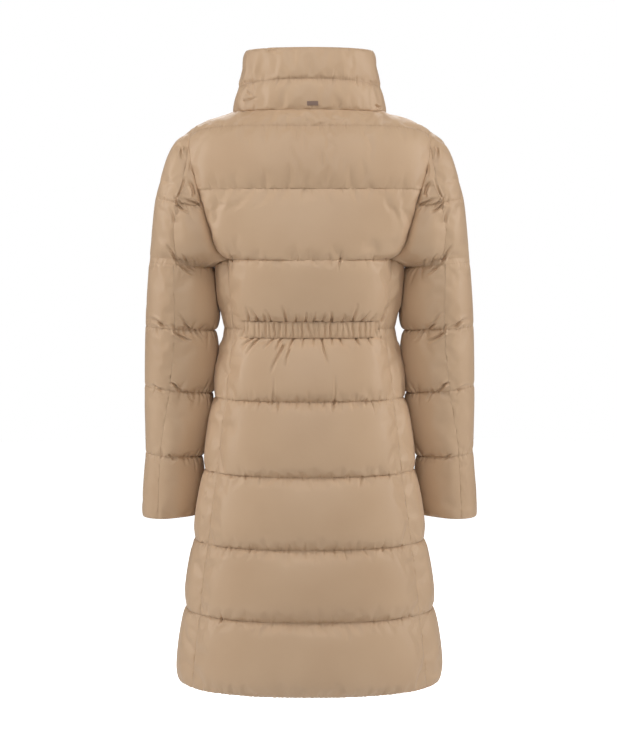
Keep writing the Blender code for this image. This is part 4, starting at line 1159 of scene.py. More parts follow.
def pucker_line(sheet, line, first, last, kind, seed, where=None, deep=PUCKER_DEEP):
    """Creases above and below one sewn line, between two places round the coat."""
    stream = random.Random(seed)
    near = (FINE_SHEET == sheet) & (np.abs(HEIGHT - line) < kind.longest * 1.1)
    near &= (AROUND > first) & (AROUND < last)
    if where is not None:
        near &= where
    chosen = np.where(near)[0]
    order = chosen[np.argsort(AROUND[chosen])]
    along, off = AROUND[order], HEIGHT[order] - line
    place, count = first, 0
    while place < last:
        place += kind.spacing * stream.uniform(*SPACING_RANGE)
        depth = deep * kind.depth * stream.uniform(*DEPTH_RANGE)
        width = kind.width * stream.uniform(*WIDTH_RANGE)
        for way in (1, -1):
            length = stream.uniform(kind.shortest, kind.longest) * stream.uniform(*LENGTH_RANGE)
            lean = stream.uniform(-MOST_LEAN, MOST_LEAN)
            low = np.searchsorted(along, place - 3 * width - MOST_LEAN * length)
            high = np.searchsorted(along, place + 3 * width + MOST_LEAN * length)
            reach = off[low:high] * way
            share = np.clip(1.0 - reach / length, 0.0, 1.0) * (reach >= -1e-6)
            share *= np.clip(AT_THREAD + reach / THREAD_RUN, 0.0, 1.0)
            aside = (along[low:high] - place - lean * reach) / (width * (0.7 + 0.5 * (1 - share)))
            push[order[low:high]] -= depth * share * np.exp(-aside**2)
        count += 1
    return count


# %% Puckers on every line
HALF_BODY, HALF_ARM, HALF_COLLAR = 0.69, 0.17, 0.3
UNDER_X, LOW_UNDER_X, LOW_ARM = 0.225, 0.245, -0.5
counts = []
for number, line in enumerate(PLAIN_LINES[:-1]):
    calm = TIGHT if line in (SEAT, WAIST) else CALM
    depth = PUCKER_FAINT if line >= CHEST else PUCKER_DEEP
    for kind, seed in ((calm, 100), (CRINKLE, 150)):
        counts.append(pucker_line(BODY, line, -HALF_BODY, HALF_BODY, kind, seed + number, None,
                                  depth))
for sign in SIDES.values():
    mine = FINE[:, 0] * sign > 0
    under = mine & (FINE[:, 0] * sign < np.where(HEIGHT < LOW_ARM, LOW_UNDER_X, UNDER_X))
    for number, line in enumerate(SLEEVE_LINES[1:] + (BICEP,)):
        for kind, seed, where in ((CALM, 200, mine), (CRINKLE, 300, mine), (UNDER_ARM, 400, under)):
            counts.append(pucker_line(SLEEVES, line, -HALF_ARM, HALF_ARM, kind,
                                      seed + number * 10 + sign, where))
for share, kind, seed in ((0.5, CALM, 600), (0.5, CRINKLE, 601), (0.0, CALM, 602)):
    counts.append(pucker_line(STAND, share * COLLAR_HEIGHT, -HALF_COLLAR, HALF_COLLAR, kind, seed))
print("puckers:", sum(counts))

# %% [markdown]
# ## Folds listed one by one
# The larger creases follow from how the coat is worn: the waist casing draws the back in, and
# the sleeves bend and slump over the lines inside the elbow. Chance would never put them in these
# places, so they are listed one by one, each from its deep end to its tip, seen from the back. The
# front takes the back's and the sleeves' own lists, the back's turned left for right.

# %% Folds above and below the waist casing
Fold = namedtuple("Fold", "x z tip_x tip_z depth width")


def folds(*rows):
    """Table of folds from plain rows."""
    return [Fold(*row) for row in rows]


WAIST_FOLDS = folds(
    (0.1032, -0.356, 0.1095, -0.3308, 0.003, 0.0026),
    (0.0877, -0.356, 0.1026, -0.3332, 0.003, 0.0026),
    (0.0757, -0.356, 0.0787, -0.3405, 0.0024, 0.0022),
    (0.0653, -0.356, 0.0752, -0.3352, 0.0024, 0.0022),
    (0.0399, -0.356, 0.0472, -0.3272, 0.003, 0.0026),
    (0.023, -0.356, 0.0237, -0.3417, 0.0022, 0.0022),
    (0.0064, -0.356, 0.0063, -0.339, 0.0024, 0.0022),
    (-0.0072, -0.356, -0.0097, -0.339, 0.0024, 0.0022),
    (-0.022, -0.356, -0.027, -0.338, 0.0024, 0.0022),
    (-0.037, -0.356, -0.0356, -0.338, 0.0034, 0.0026),
    (-0.056, -0.356, -0.059, -0.343, 0.0018, 0.0022),
    (-0.0731, -0.356, -0.0813, -0.323, 0.003, 0.0026),
    (-0.089, -0.356, -0.1042, -0.3383, 0.0026, 0.0024),
    (-0.1047, -0.356, -0.1146, -0.3431, 0.0024, 0.0024),
    (-0.124, -0.356, -0.1326, -0.332, 0.0034, 0.0028),
    (0.0982, -0.3866, 0.1179, -0.4039, 0.003, 0.0026),
    (0.0878, -0.3866, 0.11, -0.4158, 0.0032, 0.0026),
    (0.0626, -0.3866, 0.0789, -0.4051, 0.0028, 0.0024),
    (0.0488, -0.3866, 0.0573, -0.4071, 0.003, 0.0024),
    (0.0449, -0.398, 0.067, -0.447, 0.0032, 0.003),
    (0.0281, -0.3866, 0.0347, -0.4069, 0.0032, 0.0026),
    (0.0347, -0.405, 0.04, -0.433, 0.0022, 0.0026),
    (0.01, -0.3866, 0.012, -0.401, 0.0018, 0.0022),
    (-0.007, -0.3866, -0.008, -0.399, 0.0016, 0.0022),
    (-0.0209, -0.3866, -0.0319, -0.428, 0.003, 0.0026),
    (-0.038, -0.3866, -0.04, -0.398, 0.0016, 0.0022),
    (-0.0517, -0.3866, -0.058, -0.396, 0.0024, 0.0024),
    (-0.079, -0.3866, -0.089, -0.399, 0.0026, 0.0024),
    (-0.1, -0.3866, -0.109, -0.401, 0.002, 0.0024),
    (-0.1223, -0.387, -0.131, -0.403, 0.0024, 0.0026),
)
print("folds at the waist", len(WAIST_FOLDS))

# %% Short folds on the other lines of the back
BACK_FOLDS = folds(
    (0.1317, -0.25, 0.133, -0.272, 0.0026, 0.0024),
    (0.132, -0.255, 0.14, -0.23, 0.0018, 0.0026),
    (0.0194, -0.253, 0.0194, -0.239, 0.0014, 0.0022),
    (-0.0511, -0.253, -0.053, -0.237, 0.0022, 0.0022),
    (-0.0511, -0.253, -0.049, -0.274, 0.0026, 0.0024),
    (-0.107, -0.253, -0.1067, -0.24, 0.0014, 0.0022),
    (0.0623, -0.493, 0.0604, -0.44, 0.002, 0.0026),
    (-0.0415, -0.493, -0.042, -0.443, 0.0022, 0.0026),
    (-0.04, -0.494, -0.0375, -0.509, 0.002, 0.0024),
    (0.0517, -0.494, 0.0515, -0.513, 0.0018, 0.0024),
    (0.108, -0.621, 0.112, -0.602, 0.0018, 0.0026),
    (-0.089, -0.621, -0.085, -0.64, 0.0016, 0.0024),
    (0.035, -0.743, 0.037, -0.723, 0.0016, 0.0026),
    (-0.124, -0.744, -0.129, -0.719, 0.002, 0.0028),
    (0.142, -0.744, 0.148, -0.762, 0.0018, 0.0026),
    (-0.015, -0.866, -0.013, -0.848, 0.0014, 0.0026),
    (0.1801, -0.656, 0.1798, -0.672, 0.0024, 0.0022),
    (0.1851, -0.698, 0.1846, -0.712, 0.002, 0.0022),
    (0.1669, -0.62, 0.17, -0.635, 0.0024, 0.0022),
    (0.15, -0.866, 0.157, -0.84, 0.0018, 0.003),
)
print("folds on the other lines", len(BACK_FOLDS))

# %% Folds of the left sleeve and of the collar
SLEEVE_FOLDS = folds(
    (0.2247, -0.2585, 0.198, -0.279, 0.0045, 0.0034),
    (0.226, -0.259, 0.233, -0.248, 0.004, 0.0032),
    (0.209, -0.26, 0.2185, -0.243, 0.0038, 0.0032),
    (0.2303, -0.25, 0.244, -0.227, 0.003, 0.0034),
    (0.196, -0.262, 0.201, -0.248, 0.003, 0.0028),
    (0.2304, -0.3786, 0.202, -0.394, 0.0045, 0.0034),
    (0.231, -0.377, 0.237, -0.362, 0.004, 0.0032),
    (0.206, -0.373, 0.22, -0.361, 0.0036, 0.003),
    (0.1966, -0.3769, 0.181, -0.395, 0.003, 0.003),
    (0.2142, -0.36, 0.229, -0.342, 0.0024, 0.003),
    (0.256, -0.362, 0.28, -0.357, 0.0024, 0.005),
    (0.256, -0.364, 0.238, -0.368, 0.0024, 0.005),
    (0.2328, -0.47, 0.219, -0.483, 0.004, 0.0032),
    (0.233, -0.469, 0.243, -0.467, 0.0034, 0.003),
    (0.212, -0.484, 0.201, -0.5, 0.0028, 0.003),
    (0.26, -0.477, 0.284, -0.474, 0.002, 0.005),
    (0.244, -0.595, 0.23, -0.605, 0.0026, 0.003),
    (0.2185, -0.066, 0.215, -0.082, 0.0022, 0.0032),
    (0.2248, -0.159, 0.231, -0.142, 0.003, 0.0028),
    (0.2248, -0.159, 0.204, -0.174, 0.0034, 0.003),
    (0.18, -0.164, 0.219, -0.149, 0.0052, 0.0034),
    (0.196, -0.14, 0.206, -0.118, 0.004, 0.004),
    (0.223, -0.145, 0.211, -0.112, 0.0022, 0.0026),
    (0.23, -0.186, 0.239, -0.162, 0.002, 0.004),
)
COLLAR_FOLDS = folds(
    (0.07, 0.101, 0.0397, 0.0995, 0.002, 0.004),
    (0.111, 0.0188, 0.088, 0.0218, 0.0046, 0.0018),
    (0.106, 0.033, 0.095, 0.027, 0.002, 0.0022),
    (-0.1153, 0.0089, -0.1244, 0.0064, 0.003, 0.0024),
)
print("folds on a sleeve", len(SLEEVE_FOLDS), "and on the collar", len(COLLAR_FOLDS))


# %% Press the folds in
FOLD_DEEPER, FOLD_NARROW, FOLD_BANK, BANK_OFF = 1.7, 0.8, 0.16, 2.1
FOLD_BEND, FOLD_TURN, FOLD_FADE, FOLD_HEAD, FOLD_NEAR = 0.5, 3.0, 0.8, 1.5, 0.02
TIP_WIDE, HEAD_NARROWER = 1.3, 0.5
BACK, FRONT, LEAST_FACING = 1, -1, 0.15


def fold_in(table, sheet, facing, flip=1, bank=FOLD_BANK, deeper=FOLD_DEEPER, narrow=FOLD_NARROW):
    """Press each fold of a table into the fine cloth that faces one way, with a bank beside it."""
    usable = (FINE_SHEET == sheet) & (FINE_NORMAL[:, 1] * facing > LEAST_FACING)
    x, z = FINE[:, 0] * flip, FINE[:, 2]
    for fold in table:
        way = np.array([fold.tip_x - fold.x, fold.tip_z - fold.z])
        length = np.linalg.norm(way)
        way /= length
        reach = length + FOLD_NEAR
        near = usable & (np.abs(x - fold.x) < reach) & (np.abs(z - fold.z) < reach)
        chosen = np.where(near)[0]
        to_x, to_z = x[chosen] - fold.x, z[chosen] - fold.z
        along = to_x * way[0] + to_z * way[1]
        aside = to_x * way[1] - to_z * way[0]
        aside += fold.width * FOLD_BEND * np.sin(along / length * FOLD_TURN)
        share = np.clip(1.0 - along / length, 0.0, 1.0) ** FOLD_FADE
        share *= np.clip(1.0 + along / (fold.width * FOLD_HEAD), 0.0, 1.0)
        half = narrow * fold.width * (TIP_WIDE - HEAD_NARROWER * share)
        trough = np.exp(-(aside / half) ** 2)
        ridge = np.exp(-((np.abs(aside) - BANK_OFF * half) / half) ** 2)
        push[chosen] += deeper * fold.depth * share * (bank * ridge - trough)


LEAST_WALL = 0.0012
fold_in(WAIST_FOLDS, BODY, BACK)
fold_in(BACK_FOLDS, BODY, BACK, deeper=1.1)
fold_in(BACK_FOLDS, BODY, FRONT, flip=-1, deeper=1.1)
for sign in SIDES.values():
    fold_in(SLEEVE_FOLDS, SLEEVES, BACK, sign, bank=0.45, deeper=1.75, narrow=0.55)
    fold_in(SLEEVE_FOLDS, SLEEVES, FRONT, sign, bank=0.55, deeper=1.7, narrow=1.0)
fold_in(COLLAR_FOLDS, STAND, BACK)
push = np.maximum(push, LEAST_WALL - CARRIED["thick"])
FINE = FINE + FINE_NORMAL * push[:, None]
print("deepest crease %.1f mm" % (-push.min() * 1e3))

# %% [markdown]
# ## The panels
# Each panel takes its own fine outside, a plainer inside from the net, and a rim that closes the
# wall, just as it was cut and sewn. At a seam it draws back a sixth of a millimetre, so that the
# seam shows as a fine dark line between two rolls of cloth. The fine mesh has far more triangles
# than its calm stretches need, so each panel is thinned by edge collapse, which keeps them where
# the cloth is creased.

# %% A closed wall, and the small step back at its seams
SEAM_SHIFT = 0.00015


def smooth_wall(name, points, faces, rim_start):
    """Object of a closed wall: smooth faces, and sharp edges on the rim, whose faces come last."""
    mesh = bpy.data.meshes.new(name)
    mesh.from_pydata(points, [], faces)
    mesh.polygons.foreach_set("use_smooth", [True] * len(mesh.polygons))
    rim_edges = {key for p in mesh.polygons[rim_start:] for key in p.edge_keys}
    sharp = mesh.attributes.new("sharp_edge", "BOOLEAN", "EDGE")
    sharp.data.foreach_set("value", [tuple(sorted(e.vertices)) in rim_edges for e in mesh.edges])
    return new_object(name, mesh)


def seam_moves(faces, points):
    """Small move of each border point, square to the border and into the panel."""
    edge_of = {(a, b) for face in faces for a, b in zip(face, face[1:] + face[:1])}
    border = [e for e in edge_of if (e[1], e[0]) not in edge_of]
    centre = {}
    for face in faces:
        middle = points[list(face)].mean(axis=0)
        for a, b in zip(face, face[1:] + face[:1]):
            centre[a, b] = middle
    moves = {}
    for a, b in border:
        along = points[b] - points[a]
        along /= max(np.linalg.norm(along), 1e-9)
        inward = centre[a, b] - points[a]
        inward -= along * inward.dot(along)
        inward /= max(np.linalg.norm(inward), 1e-9)
        for n in (a, b):
            moves[n] = moves.get(n, 0) + inward
    for n, move in moves.items():
        moves[n] = move / max(np.linalg.norm(move), 1e-9) * SEAM_SHIFT
    return border, moves


# %% Build one panel
def build_panel(index, name):
    """Closed wall of one panel, with its heights and distances as mesh attributes."""
    coarse = [f for f, owner in zip(net.faces, net.owner) if owner == index]
    quads = QUADS[FINE_OWNER == index]
    border, moves = seam_moves(coarse, INNER)
    used = np.unique(quads)
    place = {int(n): i for i, n in enumerate(used)}
    points = FINE[used].copy()
    for n, move in moves.items():
        points[place[n]] += move
    for a, b in border:
        for k, n in enumerate(MIDDLE[a, b], start=1):
            points[place[n]] += moves[a] + (moves[b] - moves[a]) * k / (PER_EDGE + 1)
    inside = sorted({n for f in coarse for n in f})
    inner_place = {n: len(used) + i for i, n in enumerate(inside)}
    inner_points = INNER[inside].copy()
    for i, n in enumerate(inside):
        inner_points[i] += moves.get(n, 0)
    faces = [[place[int(n)] for n in quad] for quad in quads]
    faces += [[inner_place[n] for n in reversed(f)] for f in coarse]
    rim_start = len(faces)
    for a, b in border:
        between = [place[n] for n in MIDDLE[b, a]]
        faces.append([place[b], *between, place[a], inner_place[a], inner_place[b]])
    panel = smooth_wall(name + "_cloth", np.vstack([points, inner_points]).tolist(), faces,
                        rim_start)
    around = AROUND[used].copy()
    if "under" in name:
        around[around < -HALF_GIRTH[SLEEVES] / 2] += 2 * HALF_GIRTH[SLEEVES]
    elif "upper" in name:
        around[around > HALF_GIRTH[SLEEVES] / 2] -= 2 * HALF_GIRTH[SLEEVES]
    for key, fine_values in (("around", around), ("height", HEIGHT[used]),
                             ("near_line", NEAR_LINE[used])):
        layer = panel.data.attributes.new(key, "FLOAT", "POINT")
        values = np.concatenate([fine_values, np.zeros(len(inside))])
        layer.data.foreach_set("value", values.astype(np.float32))
    return panel


# %% Build them all, with fewer triangles where the cloth is nearly flat
MOST_TRIANGLES = {"back": 180000, "front": 130000, "sleeve": 80000, "collar": 45000}


def thinned(panel, most):
    """Collapse the edges that matter least, until the panel has no more triangles than this."""
    count = sum(len(p.vertices) - 2 for p in panel.data.polygons)
    spare = panel.modifiers.new("spare", "DECIMATE")
    spare.ratio = min(most / count, 1.0)
    full = panel.data
    panel_now = panel.evaluated_get(bpy.context.evaluated_depsgraph_get())
    panel.data = bpy.data.meshes.new_from_object(panel_now)
    panel.modifiers.clear()
    bpy.data.meshes.remove(full)
    return panel


PANELS = {name: thinned(build_panel(index, name), MOST_TRIANGLES[name.split("_")[0]])
          for index, name in enumerate(net.panels)}
for name, panel in PANELS.items():
    print(name, sum(len(p.vertices) - 2 for p in panel.data.polygons), "triangles")

# %% [markdown]
# ## The waist casing
# An elastic inside a flat casing draws the back in, and its cloth stands up in some two dozen
# crowded gathers. A simulation could gather it, but would seldom put so many into so small a
# strip. The casing is a grid on the back's own pinned points instead, raised into a ridge and cut
# by furrows that lean and wander a little.

# %% Rows of the back under the casing
BAND_ROWS, BAND_STEPS = 16, 250
BAND_LIFT, BAND_HIGH, BAND_EDGE = 0.0005, 0.0050, 0.45
BAND_RUN, BAND_FURROW, BAND_WAVER, BAND_ENDS, BAND_LEAST = 0.24, 0.8, 0.0022, 0.006, 0.0007
# ranges for one furrow, then the short furrow that half of them have beside them
FURROW_STEP, FURROW_LEAN, FURROW_BEND = (0.0070, 0.0132), (-0.0010, 0.0042), (-0.0012, 0.0012)
FURROW_DEPTH, FURROW_WIDTH = (0.5, 1.0), (0.0014, 0.0026)
SHORT_OFF, SHORT_DEEP, SHORT_WIDE = (0.003, 0.005), 0.0020, 0.0013


def band_base(values):
    """Rows of the back under the casing, read at even steps from end to end."""
    rows = [row for row, level in enumerate(LEVELS) if WAIST_LOW <= level <= WAIST_HIGH]
    columns = range(-BAND_COLUMN, BAND_COLUMN + 1)
    table = np.array([[values[net.number[body_key(1 if c > 0 else -1, row, abs(c))]]
                       for c in columns] for row in rows])
    across = np.linspace(0, len(columns) - 1, BAND_STEPS + 1)
    up = np.linspace(0, len(rows) - 1, BAND_ROWS + 1)
    wide = np.array([[np.interp(across, range(len(columns)), row[:, k]) for row in table]
                     for k in range(3)])
    return np.array([[np.interp(up, range(len(rows)), wide[k, :, i])
                      for i in range(BAND_STEPS + 1)] for k in range(3)]).transpose(2, 1, 0)


# %% The gathers
def band_heights():
    """How far each point of the casing stands off: ridges with leaning furrows between."""
    stream = random.Random(11)
    run = np.linspace(-BAND_RUN / 2, BAND_RUN / 2, BAND_STEPS + 1)[None, :]
    up = np.linspace(0.0, 1.0, BAND_ROWS + 1)[:, None]
    swell = BAND_EDGE + (1 - BAND_EDGE) * np.sin(math.pi * up) ** 0.7
    heights = BAND_HIGH * swell * np.ones_like(run)
    place = -BAND_RUN / 2
    while place < BAND_RUN / 2:
        place += stream.uniform(*FURROW_STEP)
        lean, bend = stream.uniform(*FURROW_LEAN), stream.uniform(*FURROW_BEND)
        depth, width = stream.uniform(*FURROW_DEPTH), stream.uniform(*FURROW_WIDTH)
        line = place + lean * (up - 0.5) + bend * np.sin(2 * math.pi * up)
        heights -= BAND_HIGH * BAND_FURROW * depth * swell * np.exp(-((run - line) / width) ** 2)
        if stream.random() < 0.5:
            line = line + stream.uniform(*SHORT_OFF)
            reach = np.clip(1.3 - 2.2 * np.abs(up - stream.choice((0.0, 1.0))), 0.0, 1.0)
            heights -= SHORT_DEEP * reach * np.exp(-((run - line) / SHORT_WIDE) ** 2)
    ends = np.clip((BAND_RUN / 2 - np.abs(run)) / BAND_ENDS, 0.0, 1.0)
    return np.maximum(heights * (0.3 + 0.7 * ends), BAND_LEAST)


# %% Build the casing
def closed_strip(name, under, over):
    """Closed wall between two grids of points, with smooth faces and sharp rims."""
    rows, steps = over.shape[0], over.shape[1]
    points = np.vstack([over.reshape(-1, 3), under.reshape(-1, 3)])
    index = np.arange(rows * steps).reshape(rows, steps)
    a, b, c, d = index[:-1, :-1], index[:-1, 1:], index[1:, 1:], index[1:, :-1]
    top = np.stack([a, b, c, d], axis=-1).reshape(-1, 4)
    faces = np.vstack([top, top[:, ::-1] + rows * steps])
    loop = np.concatenate([index[0, :-1], index[:-1, -1], index[-1, :0:-1], index[:0:-1, 0]])
    turned = np.roll(loop, -1)
    rim = np.stack([turned, loop, loop + rows * steps, turned + rows * steps], axis=-1)
    return smooth_wall(name, points.tolist(), np.vstack([faces, rim]).tolist(), len(faces))


base, base_normal = band_base(OUTER), band_base(NORMAL)
waver = np.array([noise.noise(Vector((0.09 * i, 0.0, 4.0))) for i in range(BAND_STEPS + 1)])
base[:, :, 2] += BAND_WAVER * waver * np.linspace(-0.4, 1.0, BAND_ROWS + 1)[:, None]
BAND_TOP = base + base_normal * (BAND_LIFT + band_heights())[:, :, None]
# the grid runs from the wearer's right to the left, so it is turned to face out
waist_casing = closed_strip("waist_casing", (base + base_normal * BAND_LIFT)[:, ::-1],
                            BAND_TOP[:, ::-1])
print("casing:", len(waist_casing.data.polygons), "faces")

# %% [markdown]
# ## The zip
# Two woven tapes lie behind the edges of the fronts. Their teeth are one small shape set down
# again and again, left and right in turn, along the line where the tapes meet. An array modifier
# on a curve could repeat it, but the teeth would slide off the tapes where the fronts bend.

# %% Where the tapes run
TAPE_LIFT, TAPE_THICK, SLIDER_Z, SLIDER_HALF = 0.0005, 0.0010, 0.058, 0.0056
TAPE_X = (0.0008, 0.0016, 0.0026, 0.0040, 0.0060, 0.0085, 0.0115, 0.0145, 0.0175)
TAPE_PROUD = (0.0004, 0.0006, 0.0, 0.0, 0.0, 0.0, 0.0, 0.0, 0.0)
TAPE_COLUMNS = range(6)


def front_rows():
    """Inner points of the left front's last columns, from the zip inwards, row by row."""
    rows = [[body_key(1, row, BODY_END - k) for k in TAPE_COLUMNS] for row in range(TOP_ROW + 1)]
    rows += [[collar_key(1, row, BODY_END - k) for k in TAPE_COLUMNS]
             for row in range(1, len(COLLAR_STEPS))]
    return [INNER[[net.number[key] for key in row]] for row in rows]


def build_tape(name, side):
    """One woven tape, read off the front's own points."""
    over, under = [], []
    for row in front_rows():
        depth = np.interp(TAPE_X, row[:, 0], row[:, 1]) + TAPE_LIFT
        height = np.interp(TAPE_X, row[:, 0], row[:, 2])
        over.append([(side * x, y - proud, z)
                     for x, y, z, proud in zip(TAPE_X, depth, height, TAPE_PROUD)])
        under.append([(side * x, y + TAPE_THICK, z) for x, y, z in zip(TAPE_X, depth, height)])
    over, under = np.array(over)[:, ::side], np.array(under)[:, ::side]
    return closed_strip(name, under, over)


TAPES = {name: build_tape("woven_tape_" + name, sign) for name, sign in SIDES.items()}
print("tapes of", len(TAPES["left"].data.polygons), "faces each")

# %% Even steps along a row of points, and many small parts as one object
def along_path(path, pitch, start=0.0):
    """Points and directions at even distances along a row of points."""
    steps = np.linalg.norm(np.diff(path, axis=0), axis=1)
    run = np.concatenate([[0.0], np.cumsum(steps)])
    at = np.arange(start, run[-1], pitch)
    points = np.stack([np.interp(at, run, path[:, k]) for k in range(3)], axis=-1)
    ahead = np.stack([np.interp(at + 1e-4, run, path[:, k]) for k in range(3)], axis=-1)
    back = np.stack([np.interp(at - 1e-4, run, path[:, k]) for k in range(3)], axis=-1)
    way = ahead - back
    return points, way / np.linalg.norm(way, axis=1, keepdims=True)


def joined_mesh(name, points, faces, smooth=False):
    """One object of many small parts."""
    mesh = bpy.data.meshes.new(name)
    mesh.from_pydata(points, [], faces)
    mesh.polygons.foreach_set("use_smooth", [smooth] * len(mesh.polygons))
    return new_object(name, mesh)


# %% The teeth
TOOTH_PITCH, TOOTH_BACK, TOOTH_FACE = 0.0025, -0.0009, 0.0013
TEETH_START, TEETH_APART = 0.004, 0.0016
TOOTH = ((0.0034, 0.00055), (0.0012, 0.00055), (0.0002, 0.00038), (-0.0008, 0.00055),
         (-0.0013, 0.00035), (-0.0013, -0.00035), (-0.0008, -0.00055), (0.0002, -0.00038),
         (0.0012, -0.00055), (0.0034, -0.00055))


def build_teeth(name, side):
    """All teeth of one side; those above the slider stand free of the other side's."""
    path = np.array([(0.0, np.interp(TAPE_X[0], row[:, 0], row[:, 1]), row[0, 2])
                     for row in front_rows()])
    start = TEETH_START + (TOOTH_PITCH / 2 if side > 0 else 0.0)
    places, ways = along_path(path, TOOTH_PITCH, start)
    points, faces, count = [], [], len(TOOTH)
    for place, way in zip(places[:-2], ways[:-2]):
        if abs(place[2] - SLIDER_Z) < SLIDER_HALF:
            continue
        shift = TEETH_APART if place[2] > SLIDER_Z else 0.0
        out = np.array([0.0, -way[2], way[1]])
        first = len(points)
        for layer in (TOOTH_BACK, TOOTH_FACE):
            for x, z in TOOTH:
                points.append(place + np.array([side * (x + shift), 0, 0]) + way * z - out * layer)
        ring = [first + i for i in range(count)]
        cap = ring if side < 0 else ring[::-1]
        far = [n + count for n in ring]
        faces += [cap, far[::-1] if side < 0 else far]
        for i in range(count):
            a, b = ring[i], ring[(i + 1) % count]
            quad = (b, a, a + count, b + count)
            faces.append(quad if side < 0 else quad[::-1])
    return joined_mesh("zip_teeth_" + name, points, faces)


TEETH = {name: build_teeth(name, sign) for name, sign in SIDES.items()}
print("teeth:", sum(len(t.data.polygons) for t in TEETH.values()) // (len(TOOTH) + 2))

# %% [markdown]
# ## Stitches
# The thread shows as short raised dashes in the bottom of each groove, on the casing and beside
# the zip. A picture of a thread would vanish in the creases, so each dash is a small spindle of
# five sides, laid along the cloth's own points and joined with all others into one mesh.

# %% Stitches along a row of fine points
STITCH_PITCH, STITCH_LONG, STITCH_WIDE, STITCH_HIGH = 0.0042, 0.0030, 0.00030, 0.00026
STITCH_LIFT, STITCH_SHOULDER, STITCH_SIDES = 0.0002, 0.3, 5


def stitches(name, paths):
    """Joined spindles along several paths; each path has points and outward directions."""
    points, faces = [], []
    for path, outward in paths:
        places, ways = along_path(path, STITCH_PITCH, STITCH_PITCH)
        ups, _ = along_path(path + outward, STITCH_PITCH, STITCH_PITCH)
        for place, way, up in zip(places, ways, ups):
            normal = up - place
            normal -= way * normal.dot(way)
            normal /= max(np.linalg.norm(normal), 1e-9)
            aside = np.cross(way, normal)
            first = len(points)
            points.append(place - way * STITCH_LONG / 2)
            for end in (-STITCH_SHOULDER, STITCH_SHOULDER):
                for turn in range(STITCH_SIDES):
                    angle = 2 * math.pi * turn / STITCH_SIDES
                    points.append(place + way * STITCH_LONG * end
                                  + aside * STITCH_WIDE * math.cos(angle)
                                  + normal * (STITCH_HIGH * math.sin(angle) + STITCH_LIFT))
            points.append(place + way * STITCH_LONG / 2)
            for i in range(STITCH_SIDES):
                a, b = first + 1 + i, first + 1 + (i + 1) % STITCH_SIDES
                far_a, far_b = a + STITCH_SIDES, b + STITCH_SIDES
                faces += [(first, b, a), (a, b, far_b, far_a), (len(points) - 1, far_a, far_b)]
    return joined_mesh(name, points, faces, smooth=True)


# %% Where the sewn lines run
def fine_path(keys):
    """Points of the fine cloth and their directions, along named points of the net."""
    numbers = [net.number[key] for key in keys]
    return FINE[numbers], FINE_NORMAL[numbers]


def body_line(line):
    """Paths of one sewn line round the body, split at the armholes and at the waist casing."""
    row = LEVELS.index(line)
    paths = []
    first = BAND_COLUMN if line == WAIST else 0
    spans = [(first, BODY_END - 1)] if line <= CHEST else [(0, BACK_COLUMNS),
                                                           (SIDE_END, BODY_END - 1)]
    for sign in SIDES.values():
        for low, high in spans:
            paths.append(fine_path([body_key(sign, row, c) for c in range(low, high + 1)]))
    return paths


def sleeve_line(line):
    """Paths of one sewn line round both sleeves."""
    if line == BICEP:
        row = RING_ROWS + LEVELS.index(BICEP) - ARMPIT_ROW
        spans = [(0, FRONT_HORN - 1), (BACK_HORN + 1, RING_COLUMNS)]
    else:
        row, spans = SLEEVE_LEVELS.index(line), [(0, RING_COLUMNS)]
    return [fine_path([sleeve_key(sign, row, c) for c in range(low, high + 1)])
            for sign in SIDES.values() for low, high in spans]


# %% Sew them all
line_paths = []
for line in (THIGH, HIP, LAP, SEAT, WAIST, CHEST, BLADE, YOKE):
    line_paths += body_line(line)
for line in SLEEVE_LINES[1:] + (BICEP,):
    line_paths += sleeve_line(line)
middle_row = COLLAR_STEPS.index(0.5)
for sign in SIDES.values():
    line_paths.append(fine_path([collar_key(sign, middle_row, c) for c in COLLAR_COLUMNS]))
    zip_keys = [body_key(sign, row, BODY_END - 1) for row in range(2, TOP_ROW + 1)]
    zip_keys += [collar_key(sign, row, BODY_END - 1) for row in range(1, len(COLLAR_STEPS) - 1)]
    line_paths.append(fine_path(zip_keys))
for row in (1, BAND_ROWS - 1):
    line_paths.append((BAND_TOP[row], base_normal[row]))
THREAD = stitches("quilting_thread", line_paths)
print("stitches:", len(THREAD.data.polygons) // (3 * STITCH_SIDES))

# %% [markdown]
# ## The plate on the collar
# A small plain plate with a raised border, at the foot of the collar. It sits exactly on its
# solid: its middle and its lean are read off the solid's own points.

# %% Build the plate
PLATE_BEVEL, PLATE_BORDER, PLATE_SUNK = 0.0002, 0.0010, 0.0004


def rounded(half_width, half_height, corner, depth):
    """Outline of a rounded rectangle at one depth, counter-clockwise from outside."""
    outline = []
    for quarter, (sx, sz) in enumerate(((1, 1), (-1, 1), (-1, -1), (1, -1))):
        for step in range(5):
            angle = math.pi / 2 * (quarter + step / 4)
            outline.append((sx * (half_width - corner) + corner * math.cos(angle), depth,
                            sz * (half_height - corner) + corner * math.sin(angle)))
    return outline


